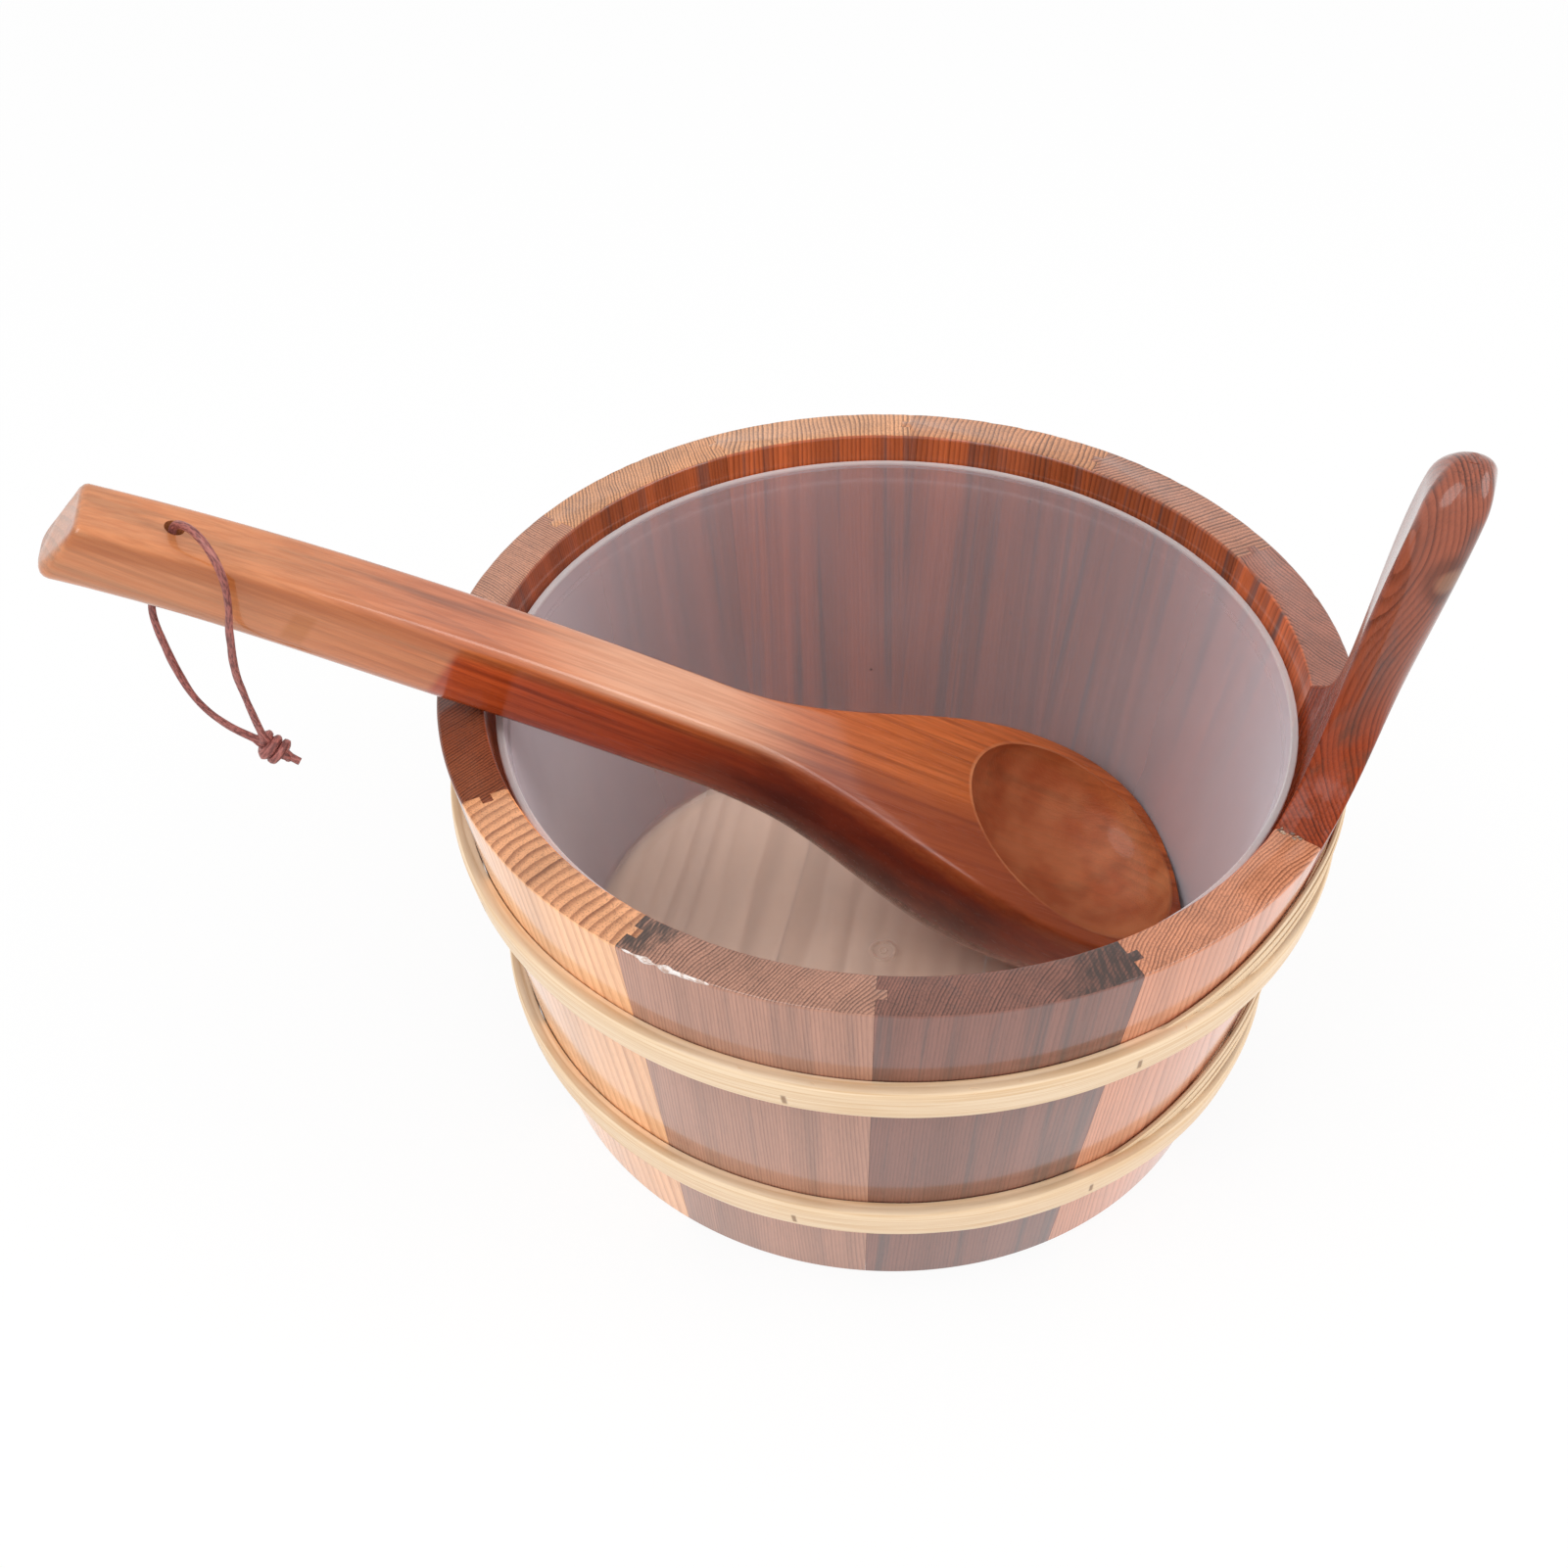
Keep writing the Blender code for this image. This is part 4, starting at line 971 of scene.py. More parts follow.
def outer_turn(tub, hoop, name, height, seed):
    stand_off = hoop.stand_off + hoop.inner_thickness + hoop.strip_gap

    def profile(apart, uneven):
        lap = stand_off + hoop.outer_bow * apart - 0.3 * MM
        width = hoop.outer_width * (1.0 + 0.05 * uneven)
        return strip_profile(width, hoop.outer_thickness, uneven, hoop.inner_width, lap)

    return strip(
        tub, hoop, name,
        lambda apart: height - hoop.dip * apart,
        lambda apart: stand_off + hoop.outer_bow * apart,
        profile, seed,
    )


# Place in the bundle, share of the full rise and extra bow in mm of each split of an inner turn
INNER_SPLITS = [(1.5, 1.0, -0.4), (0.5, 0.83, 0.5), (-0.5, 0.66, 0.1), (-1.5, 0.49, 0.9)]


def inner_turn(tub, hoop, name, height, seed):
    """Narrow splits side by side, which fan out where the turns part."""
    share = hoop.inner_width / len(INNER_SPLITS)
    work = bmesh.new()
    for place, rise, bow in INNER_SPLITS:

        def profile(apart, uneven):
            width = (share - 0.15 * MM) * (1.0 + 0.32 * apart)
            return strip_profile(width * (1.0 + 0.05 * uneven), hoop.inner_thickness, uneven)

        mesh = strip(
            tub, hoop, name,
            lambda apart: height + place * share * (1.0 - apart) + hoop.rise * rise * apart,
            lambda apart: hoop.stand_off + (hoop.inner_bow + bow * MM) * apart,
            profile, seed + 0.31 * place,
        )
        work.from_mesh(mesh)
        bpy.data.meshes.remove(mesh)
    return settled(name, work)


def rattan(name, other, nick_spacing, skin):
    """Split rattan: long fibres, brown skin at the edges and a nick here and there."""
    made, start = new_surface(name)
    place = start.node("ShaderNodeAttribute", {"attribute_name": "fibre"}, output="Vector")
    along = place.part("X")
    across = place.part("Y")
    fine = place.noise((0.045, 0.085, 0.31), 3.0)
    broad = place.noise((0.120, 0.35, 0.31), 2.0, 4.0)
    patches = place.noise((0.035, 1.2, 0.31), 2.0, 8.0)
    cells = along / nick_spacing
    cell = cells.math("FLOOR")
    chance = cell.chance(3.0)
    lean = across * 0.006
    near = abs(cells - cell - chance * 0.7 - 0.15 + lean)
    reach = abs(across + chance * 1.6 - 0.8)
    nick = near.step(0.009, 0.003) * reach.step(0.42, 0.20)
    edge = (abs(across) + fine * 0.10 - 0.05).step(0.90, 1.0)
    tone = (fine.step(0.38, 0.70) * 0.85).mix(paint(other.rattan), paint(other.rattan_fibre))
    tone = (broad.step(0.55, 0.75) * 0.35).mix(tone, paint(other.rattan_fibre))
    tone = (patches.step(0.50, 0.80) * 0.30).mix(tone, paint(other.rattan_fibre))
    tone = (edge * skin).mix(tone, paint(other.rattan_skin))
    tone = (nick * 0.8).mix(tone, paint(other.rattan_skin))
    close_surface(
        start,
        Base_Color=tone,
        Roughness=fine * 0.25 + 0.38,
        Normal=bumped(fine * 0.7 + broad * 0.5 - nick * 1.2, 0.5, 0.0004),
        Coat_Weight=0.12,
        Coat_Roughness=0.25,
    )
    return made


def fibre_tube(work, points, radius):
    """A three-sided hair along a few points, pointed at its end."""
    rows = []
    for place, point in enumerate(points):
        ahead = points[min(place + 1, len(points) - 1)] - points[max(place - 1, 0)]
        side = ahead.cross(Vector((0.3, 0.2, 0.93))).normalized()
        rise = side.cross(ahead).normalized()
        size = radius * (1.0 - 0.8 * place / (len(points) - 1))
        row = []
        for corner in range(FIBRE_SIDES):
            turn = FULL_TURN * corner / FIBRE_SIDES
            row.append(work.verts.new(point + (side * math.cos(turn) + rise * math.sin(turn)) * size))
        rows.append(row)
    for lower, upper in zip(rows, rows[1:]):
        for i in range(FIBRE_SIDES):
            j = (i + 1) % FIBRE_SIDES
            work.faces.new((lower[i], lower[j], upper[j], upper[i]))
    work.faces.new(rows[0])
    work.faces.new(rows[-1])


# Bearing in degrees, share across the strip, upper hoop or lower, length in mm and lean of each loose fibre
LOOSE_FIBRES = [
    (-106.0, 0.9, True, 4.0, 0.6), (-97.0, 0.95, True, 3.0, -0.4), (-80.0, 0.9, True, 5.0, 0.8),
    (-78.0, 0.6, True, 6.0, -0.7), (-74.0, 0.9, True, 4.5, 0.3), (-70.0, 0.2, True, 3.5, 0.9),
    (-52.0, 0.8, True, 4.0, -0.5), (-104.0, 0.2, False, 5.0, 0.7), (-102.0, -0.3, False, 4.0, -0.8),
    (-86.0, 0.6, False, 3.5, 0.2), (-70.0, 0.8, False, 4.0, 0.6), (-60.0, 0.4, False, 3.0, -0.6),
    (150.0, 0.7, True, 4.0, 0.5), (60.0, 0.8, False, 4.5, -0.4), (20.0, 0.9, True, 5.0, 0.4),
]


def loose_fibres(tub, hoop):
    """Torn fibres that stand off the outer strips."""
    work = bmesh.new()
    layer = work.verts.layers.float_vector.new("fibre")
    for degrees, share, upper, long, lean in LOOSE_FIBRES:
        bearing = math.radians(degrees)
        apart = parting(hoop, bearing)
        level = (hoop.upper_height if upper else hoop.lower_height) - hoop.dip * apart
        level += 0.5 * share * hoop.outer_width
        lift = hoop.stand_off + hoop.inner_thickness + hoop.strip_gap + hoop.outer_bow * apart
        radius = outer_radius(tub, level) + lift + hoop.outer_thickness * (0.98 - 0.55 * abs(share) ** 3)
        out = around(1.0, bearing, 0.0)
        side = Vector((-math.sin(bearing), math.cos(bearing), 0.0))
        root = out * (radius - 0.35 * MM) + Vector((0.0, 0.0, level))
        points = []
        for step in range(FIBRE_STEPS + 1):
            part = step / FIBRE_STEPS
            reach = long * MM * part
            way = side * lean + out * 0.35 * part + Vector((0, 0, 0.6 - part * 0.3))
            points.append(root + way * reach)
        fibre_tube(work, points, 0.11 * MM)
    for vert in work.verts:
        vert[layer] = Vector((vert.co.x, 0.2, 2.0))
    bmesh.ops.recalc_face_normals(work, faces=work.faces)
    return settled("rattan_loose_fibres", work)


class BUCKET_OT_hoops(bpy.types.Operator):
    """Two hoops of split rattan, each an inner turn and an outer turn over it, with their loose fibres"""

    bl_idname = "bucket.hoops"
    bl_label = "Hoops"

    def execute(self, context):
        tub = context.scene.bucket_tub
        hoop = context.scene.bucket_hoop
        other = context.scene.bucket_other
        smooth = rattan("rattan_outer_turn", other, nick_spacing=0.105, skin=0.32)
        skinned = rattan("rattan_inner_turn", other, nick_spacing=0.145, skin=0.60)
        heights = {"upper": hoop.upper_height, "lower": hoop.lower_height}
        for place, (level, height) in enumerate(heights.items()):
            for turn, surface, wind in (("outer", smooth, outer_turn), ("inner", skinned, inner_turn)):
                mesh = wind(tub, hoop, f"rattan_{level}_{turn}", height, 2.0 * place + len(turn) * 0.7)
                dress(mesh, surface, STRIP_CREASE, "tub", "split_rattan", f"{level}_hoop_{turn}")
        dress(loose_fibres(tub, hoop), smooth, WOOD_CREASE, "tub", "split_rattan")
        return {"FINISHED"}


def filleted(corners):
    """A line through (radius, height, fillet) corners, each rounded by its fillet."""
    points = []
    for place, (radius, height, fillet) in enumerate(corners):
        corner = Vector((radius, height))
        if fillet == 0.0:
            points.append(corner)
            continue
        before = Vector(corners[place - 1][:2])
        after = Vector(corners[place + 1][:2])
        start = corner + (before - corner).normalized() * min(fillet, 0.45 * (before - corner).length)
        end = corner + (after - corner).normalized() * min(fillet, 0.45 * (after - corner).length)
        for step in range(FILLET_STEPS + 1):
            share = step / FILLET_STEPS
            points.append(start.lerp(corner, share).lerp(corner.lerp(end, share), share))
    return points


def lathe(name, points):
    work = bmesh.new()
    rows = []
    for step in range(TURN_STEPS):
        turn = FULL_TURN * step / TURN_STEPS
        rows.append([work.verts.new(around(p.x, turn, p.y)) for p in points])
    for row, after in zip(rows, rows[1:] + rows[:1]):
        for i in range(len(points) - 1):
            work.faces.new((row[i], row[i + 1], after[i + 1], after[i]))
    bmesh.ops.remove_doubles(work, verts=work.verts, dist=1e-6)
    bmesh.ops.recalc_face_normals(work, faces=work.faces)
    return settled(name, work)


def liner_corners(tub, liner):
    """Half section of the liner as filleted corners, up its inside and down its outside."""
    floor_low = tub.base_recess + tub.base_thickness + liner.floor_lift
    floor = floor_low + liner.wall
    lip_top = tub.height - liner.rim_drop
    lip_low = lip_top - liner.lip_thickness
    foot = inner_radius(tub, floor_low) - liner.floor_play
    neck = inner_radius(tub, lip_low) - liner.neck_play
    lip = inner_radius(tub, lip_top) - liner.lip_play
    step = lip_top - liner.step_drop

    def outside(height):
        return between(foot, neck, (height - floor_low) / (lip_low - floor_low))

    def inside(height):
        return outside(height) - liner.wall

    mark = liner.mark_radius
    crest = floor + liner.mark_height
    return [
        (0.0, floor, 0.0),
        (0.20 * mark, floor, 0.1 * MM),
        (0.28 * mark, floor + 0.5 * liner.mark_height, 0.2 * MM),
        (0.40 * mark, floor, 0.2 * MM),
        (0.78 * mark, floor, 0.3 * MM),
        (0.94 * mark, crest, 0.3 * MM),
        (1.06 * mark, crest, 0.3 * MM),
        (1.22 * mark, floor, 0.3 * MM),
        (inside(floor), floor, liner.floor_round),
        (inside(step), step, 0.6 * MM),
        (inside(step) + liner.step, step + liner.step, 0.6 * MM),
        (inside(lip_top) + liner.step, lip_top, 0.5 * MM),
        (lip, lip_top, 0.6 * MM),
        (lip, lip_low, 0.4 * MM),
        (outside(lip_low), lip_low, 0.3 * MM),
        (foot, floor_low, liner.floor_round),
        (0.0, floor_low, 0.0),
    ]


def milky_plastic(tub, liner, other):
    """Translucent liner: faint moulding clouds, tiny specks and a denser lip."""
    made, start = new_surface("milky_plastic_liner")
    place = start.node("ShaderNodeTexCoord", output="Object")
    height = place.part("Z")
    clouds = place.noise((0.030, 0.030, 0.060), 3.0)
    waves = place.noise((0.012, 0.012, 0.030), 1.0, 4.0)
    facing = start.node("ShaderNodeLayerWeight", None, {"Blend": 0.5}, "Facing")
    cell = start.node(
        "ShaderNodeTexVoronoi", None, {"Vector": place, "Scale": 95.0, "Randomness": 1.0}, "Distance"
    )
    chance = place.noise((0.024, 0.024, 0.024), 1.0, 9.0).step(0.60, 0.68)
    speck = cell.step(0.075, 0.045) * chance
    lip = tub.height - liner.rim_drop - liner.lip_thickness
    rim = height.step(lip + 0.9 * MM, lip + 1.8 * MM)
    tone = clouds.mix(paint([0.93 * channel for channel in other.milk]), paint(other.milk))
    tone = rim.mix(tone, paint(other.milk_lip))
    floor = tub.base_recess + tub.base_thickness + liner.floor_lift + liner.wall
    low = height.step(floor + 3.0 * MM, floor + 0.5 * MM)
    tone = low.mix(tone, paint(other.milk_floor))
    tone = speck.mix(tone, paint(other.milk_speck))
    alpha = clouds * 0.06 + 0.12 + rim * 0.26 + low * 0.12 + facing * facing * 1.1
    close_surface(
        start,
        Base_Color=tone,
        Roughness=clouds * 0.12 + 0.24,
        Alpha=alpha + speck * 0.5,
        Normal=bumped(waves, 0.15, 0.0006),
    )
    return made


class BUCKET_OT_liner(bpy.types.Operator):
    """The lift-out liner of milky plastic"""

    bl_idname = "bucket.liner"
    bl_label = "Liner"

    def execute(self, context):
        tub = context.scene.bucket_tub
        liner = context.scene.bucket_liner
        mesh = lathe("milky_liner", filleted(liner_corners(tub, liner)))
        surface = milky_plastic(tub, liner, context.scene.bucket_other)
        dress(mesh, surface, STRIP_CREASE, "liner", "milky_plastic", "liner")
        return {"FINISHED"}


def ladle_angle(ladle, along):
    past = along - (ladle.length - ladle.reference_back)
    return ladle.bend * past + ladle.bend_ease * past * past


def ladle_top(ladle, along):
    """Point of the top line in the ladle's own frame."""
    reference = ladle.length - ladle.reference_back
    size = (along - reference) / BEND_STEPS
    point = Vector((0.0, 0.0, 0.0))
    for step in range(BEND_STEPS):
        turn = ladle_angle(ladle, reference + size * (step + 0.5))
        point += Vector((math.cos(turn), 0.0, -math.sin(turn))) * size
    return point


def ladle_normal(ladle, along):
    turn = ladle_angle(ladle, along)
    return Vector((math.sin(turn), 0.0, math.cos(turn)))


def ladle_half_width(ladle, along):
    neck = ladle.length - ladle.neck_back
    bowl = ladle.length - ladle.bowl_back
    if along <= bowl:
        handle = between(ladle.end_half_width, ladle.neck_half_width, min(along / neck, 1.0))
        flare = smoothstep((along - neck) / (bowl - neck))
        return handle + (ladle.bowl_half_width - ladle.neck_half_width) * flare
    past = (along - bowl) / ladle.bowl_back
    share = max(1.0 - past**ladle.tip_squareness, 0.0) ** (1.0 / ladle.tip_squareness)
    return max(ladle.bowl_half_width * share, ladle.tip_half_width)


def ladle_depth(ladle, along):
    neck = ladle.length - ladle.neck_back
    deepens = ladle.length - ladle.deepens_back
    deepest = ladle.length - ladle.deepest_back
    if along <= deepens:
        return between(ladle.end_depth, ladle.handle_depth, smoothstep(along / (0.6 * neck)))
    if along <= deepest:
        share = smoothstep((along - deepens) / (deepest - deepens))
        return between(ladle.handle_depth, ladle.bowl_depth, share)
    past = (along - deepest) / ladle.deepest_back
    return between(ladle.tip_depth, ladle.bowl_depth, math.sqrt(max(1.0 - past * past, 0.0)))


def ladle_ring(ladle, along, inset):
    """Section of the ladle: flat top, round arrises, and an underside that goes from boxy to round."""
    neck = ladle.length - ladle.neck_back
    bowl = ladle.length - ladle.bowl_back
    share = smoothstep((along - neck) / (bowl - neck))
    arris = between(ladle.handle_arris, ladle.bowl_arris, share)
    squareness = between(ladle.handle_squareness, ladle.bowl_squareness, share)
    half = ladle_half_width(ladle, along) - inset
    deep = ladle_depth(ladle, along) - 2 * inset
    right = []
    for step in range(ARRIS_STEPS):
        turn = 0.5 * math.pi * step / ARRIS_STEPS
        right.append((half + arris * math.sin(turn), -arris * (1.0 - math.cos(turn))))
    under = []
    for step in range(SECTION_STEPS + 1):
        turn = math.pi * step / SECTION_STEPS
        across = math.copysign(abs(math.cos(turn)) ** (2.0 / squareness), math.cos(turn))
        down = max(math.sin(turn), 0.0) ** (2.0 / squareness)
        under.append(((half + arris) * across, -arris - (deep - arris) * down))
    left = [(-across, rise) for across, rise in reversed(right)]
    top = [(between(-half, half, step / TOP_STEPS), 0.0) for step in range(1, TOP_STEPS)]
    up = ladle_normal(ladle, along)
    ahead = Vector((up.z, 0.0, -up.x))
    lean = ladle.end_lean * max(1.0 - along / ladle.end_reach, 0.0)
    base = ladle_top(ladle, along) - up * inset
    ring = []
    for across, rise in right + under + left + top:
        ring.append(base + Vector((0.0, across, 0.0)) + up * rise + ahead * (lean * (1.0 + rise / deep)))
    return ring


# Place along the handle and inset of the rings at its rounded end, both as shares of the round
END_RINGS = [(0.0, 1.0), (0.08, 0.62), (0.28, 0.28), (0.60, 0.08), (1.0, 0.0), (2.0, 0.0), (4.0, 0.0)]


def ladle_rings(ladle):
    rings = []
    for share, inset in END_RINGS:
        rings.append(ladle_ring(ladle, ladle.end_round * share, ladle.end_round * inset))
    for step in range(1, LADLE_RINGS + 1):
        share = step / LADLE_RINGS
        reach = share * (1.55 - 0.55 * share)
        rings.append(ladle_ring(ladle, between(ladle.end_reach, ladle.length, reach), 0.0))
    return rings


def ladle_pose(ladle):
    return Matrix.Translation(ladle.place) @ Euler(ladle.tilt, "XYZ").to_matrix().to_4x4()


def cut(solid, tools):
    """Mesh of a solid with these tools taken out of it."""
    for tool in tools:
        modifier = solid.modifiers.new(tool.name, "BOOLEAN")
        modifier.operation = "DIFFERENCE"
        modifier.solver = "EXACT"
        modifier.object = tool
    bpy.context.view_layer.update()
    graph = bpy.context.evaluated_depsgraph_get()
    mesh = bpy.data.meshes.new_from_object(solid.evaluated_get(graph))
    for spare in [solid, *tools]:
        bpy.data.objects.remove(spare)
    return mesh


def plain(name, work):
    """A working solid, taken away again once it has been used."""
    bmesh.ops.recalc_face_normals(work, faces=work.faces)
    return new_object(name, settled(name, work))


def ladle_seat(ladle, at):
    """Place and tilt of the top line at a point along the ladle."""
    return Matrix.Translation(ladle_top(ladle, at)) @ Matrix.Rotation(ladle_angle(ladle, at), 4, "Y")


def hollow_seat(ladle):
    return ladle_seat(ladle, ladle.length - ladle.hollow_back)


def ladle_mesh(ladle):
    solid = new_object("ladle_blank", loft("ladle_blank", ladle_rings(ladle)))
    work = bmesh.new()
    bmesh.ops.create_uvsphere(work, u_segments=HOLLOW_SEGMENTS, v_segments=HOLLOW_RINGS, radius=1.0)
    bmesh.ops.scale(work, vec=ladle.hollow, verts=work.verts)
    bmesh.ops.transform(work, matrix=hollow_seat(ladle), verts=work.verts)
    hollow = plain("ladle_hollow", work)
    work = bmesh.new()
    bmesh.ops.create_cone(
        work, cap_ends=True, segments=HOLE_SEGMENTS, radius1=ladle.hole_radius, radius2=ladle.hole_radius,
        depth=4 * ladle.handle_depth,
    )
    bmesh.ops.transform(work, matrix=ladle_seat(ladle, ladle.hole_at), verts=work.verts)
    hole = plain("ladle_hole", work)
    mesh = cut(solid, [hollow, hole])
    mesh.name = "cedar_ladle"
    return mesh


def ladle_finish(ladle, cedar, into_hollow):
    """Tones along the handle and over the bowl, with painted light on the top and end of the handle and
    painted shade on its flanks, and the matt, scratched wood inside the hollow.
    """

    def finish(place, ends, tone, rough, height):
        start = Field(place.tree)
        own = start.node("ShaderNodeTexCoord", output="Object")
        inside = grain_place(start, into_hollow)
        bowl = inside.vector("MULTIPLY", [1.0 / half for half in ladle.hollow]).size().step(1.035, 1.008)
        back = place.part("Z")
        aside = place.part("Y")
        bend = back * back * (back * (-ladle.bend_ease / 3.0) + 0.5 * ladle.bend)
        level = place.part("X") + bend

        def along(low, high):
            """0 to 1 between two distances in mm back from the reference point, along the grain."""
            return back.step(low * MM, high * MM)

        def deep(low, high):
            """0 to 1 between two heights in mm over the top line."""
            return level.step(low * MM, high * MM)

        # Dark heartwood streaks and painted shade below the top line, where the neck meets the bowl
        heart = deep(-1.0, -11.0) * along(50.0, -15.0) * along(-105.0, -70.0)
        # Top face painted lighter: painted light and reflection, strongest on the neck
        crest = deep(-3.0, -0.5) * along(-20.0, 25.0) * along(175.0, 110.0)
        neck = crest * along(95.0, 45.0)
        middle = crest * along(70.0, 100.0)
        # Flanks below the top: painted darker towards the bowl as painted shade
        flank = deep(-3.0, -7.0)
        # Painted light and reflection over the handle's end out of the tub; on the flank it starts at a
        # sharp edge, clear
        clear = along(97.5, 100.5)
        pale = along(95.0, 170.0)
        pale = pale + flank * clear * (1.0 - pale) * 0.6
        band = deep(-0.5, -2.5) * deep(-8.0, -5.0) * aside.step(0.0, -6.0 * MM) * along(85.0, 125.0)
        ruddy = aside.step(4.0 * MM, -14.0 * MM) * along(30.0, -15.0)
        head = along(-12.0, -60.0)
        patch = along(135.0, 137.0) * along(143.0, 141.0) * deep(-7.0, -9.0) * deep(-20.0, -17.0)
        coarse = place.noise((0.0012, 0.0012, 0.028), 3.0, 47.0).step(0.36, 0.66)
        dark = place.noise((0.0075, 0.0075, 0.080), 3.0, 29.0).step(0.28, 0.70) * 0.45 + 0.42
        layers = [
            (ruddy * 0.75, cedar.ladle_ruddy, "MIX"),
            (head, cedar.ladle_head, "MULTIPLY"),
            (flank * (1.0 - clear), cedar.ladle_side_shade, "MULTIPLY"),
            (crest * 0.22 + neck * 0.60, cedar.ladle_top_light, "MIX"),
            (middle, cedar.ladle_middle, "MULTIPLY"),
            (pale * 0.52, cedar.ladle_lit_end, "MIX"),
            (band * 0.80, cedar.ladle_band, "MIX"),
            (patch * 0.70, cedar.ladle_patch, "MIX"),
            (coarse * 0.55, cedar.ladle_coarse, "MULTIPLY"),
            (heart * dark * (1.0 - bowl), cedar.ladle_heart_and_shade, "MIX"),
        ]
        for mask, shade, blend in layers:
            tone = mask.mix(tone, paint(shade), blend)
        cloud = own.noise((0.016, 0.016, 0.016), 2.0, 43.0).step(0.30, 0.72)
        worn = cloud.mix(paint(cedar.hollow_dark), paint(cedar.hollow_light))
        tone = (bowl * 0.66).mix(tone, worn)
        scratch = own.noise((0.0030, 0.0004, 0.0030), 2.0, 21.0)
        return tone, rough + bowl * 0.17, height + bowl * scratch * 1.2, 0.9 - bowl * 0.62

    return finish


class BUCKET_OT_ladle(bpy.types.Operator):
    """The ladle, carved from one piece, with its hollow and the hole for the lace"""

    bl_idname = "bucket.ladle"
    bl_label = "Ladle"

    def execute(self, context):
        ladle = context.scene.bucket_ladle
        cedar = context.scene.bucket_cedar
        pose = ladle_pose(ladle)
        mesh = ladle_mesh(ladle)
        mesh.transform(pose)
        into_hollow = (pose @ hollow_seat(ladle)).inverted()
        upright = Matrix(((0, 0, 1, 0), (0, 1, 0, 0), (-1, 0, 0, 0), (0, 0, 0, 1)))
        grain = Grain(
            ring=3.0 * MM, bearing=math.radians(205.0), reach=70.0 * MM, lines=0.42, streaks=0.6,
            end=(0.85, 0.85, 0.85), seed=33.0,
        )
        surface = wood(
            "cedar_ladle", cedar.ladle, cedar.ladle_line, cedar.ladle_streak, grain,
            upright @ pose.inverted(), gloss=0.20, extra=ladle_finish(ladle, cedar, into_hollow),
        )
        dress(mesh, surface, LADLE_CREASE, "ladle", "cedar_ladle", "ladle")
        return {"FINISHED"}


def hole_point(ladle, lace, above):
    """A point of the lace on the front of its hole, at a height over the ladle's top face."""
    local = ladle_top(ladle, ladle.hole_at) + ladle_normal(ladle, ladle.hole_at) * above
    local.y -= ladle.hole_radius - lace.radius - 0.4 * MM
    return ladle_pose(ladle) @ local


def knot_point(ladle, lace, along, across=0.0, turn=0.0):
    """A point along the knot's falling axis, and out from it at a turn from above."""
    axis = Vector((math.cos(lace.knot_slope), 0.0, -math.sin(lace.knot_slope)))
    above = Vector((math.sin(lace.knot_slope), 0.0, math.cos(lace.knot_slope)))
    out = above * math.cos(turn) + Vector((0.0, 1.0, 0.0)) * math.sin(turn)
    return hole_point(ladle, lace, 0.0) + Vector(lace.knot_hang) + axis * along + out * across


# The two strands in mm from the top of the hole: the front one on its way down, the back one on its way up
FRONT_STRAND = [
    (7.9, -5.2, 3.1), (13.2, -9.7, -2.3), (14.5, -11.3, -11.5), (12.6, -10.9, -24.5), (10.8, -8.7, -38.0),
    (10.6, -5.2, -53.0),
]
BACK_STRAND = [
    (1.8, -1.7, -63.8), (-3.2, -1.7, -58.2), (-7.2, -1.5, -49.5), (-10.2, -0.7, -37.0), (-11.4, -0.1, -27.2),
]


def lace_route(ladle, lace):
    """From inside the hole over the front, round the other strand as the knot, and back into the hole."""
    hole = hole_point(ladle, lace, 0.0)
    knot_radius = 2 * lace.radius + lace.knot_gap
    half = 0.5 * (2 * lace.radius + lace.knot_gap + 0.3 * MM) * lace.knot_turns
    start = math.radians(-20.0)
    turns = []
    for step in range(KNOT_STEPS + 1):
        share = step / KNOT_STEPS
        turn = start + FULL_TURN * lace.knot_turns * share
        turns.append(knot_point(ladle, lace, half * (2 * share - 1), knot_radius, turn))
    last = start + FULL_TURN * lace.knot_turns
    bight = [
        knot_point(ladle, lace, half + 1.5 * MM, 0.75 * knot_radius, last + 0.5),
        knot_point(ladle, lace, half + 1.6 * MM, 0.2 * knot_radius, last + 0.8),
    ]
    through = [knot_point(ladle, lace, share * half) for share in (0.6, 0.0, -0.8, -1.5)]
    out = [hole_point(ladle, lace, above * MM) for above in (-10.0, -4.0, 2.2)]
    into = [hole_point(ladle, lace, -ladle.end_depth), hole_point(ladle, lace, -12.5 * MM)]
    front = [hole + Vector(point) * MM for point in FRONT_STRAND]
    back = [hole + Vector(point) * MM for point in BACK_STRAND]
    return out + front + turns + bight + through + back + into


def even_points(points, count):
    """Even points along a Catmull-Rom curve through the route points."""
    padded = [2 * points[0] - points[1]] + points + [2 * points[-1] - points[-2]]
    fine = []
    for i in range(1, len(padded) - 2):
        a, b, c, d = padded[i - 1 : i + 3]
        for step in range(CURVE_STEPS):
            t = step / CURVE_STEPS
            bend = (2 * a - 5 * b + 4 * c - d) * t * t + (3 * b - a - 3 * c + d) * t * t * t
            fine.append(0.5 * (2 * b + (c - a) * t + bend))
    fine.append(points[-1])
    passed = [0.0]
    for before, after in zip(fine, fine[1:]):
        passed.append(passed[-1] + (after - before).length)
    even = []
    place = 0
    for step in range(count):
        want = passed[-1] * step / (count - 1)
        while place < len(passed) - 2 and passed[place + 1] < want:
            place += 1
        share = (want - passed[place]) / (passed[place + 1] - passed[place])
        even.append(fine[place].lerp(fine[place + 1], share))
    return even


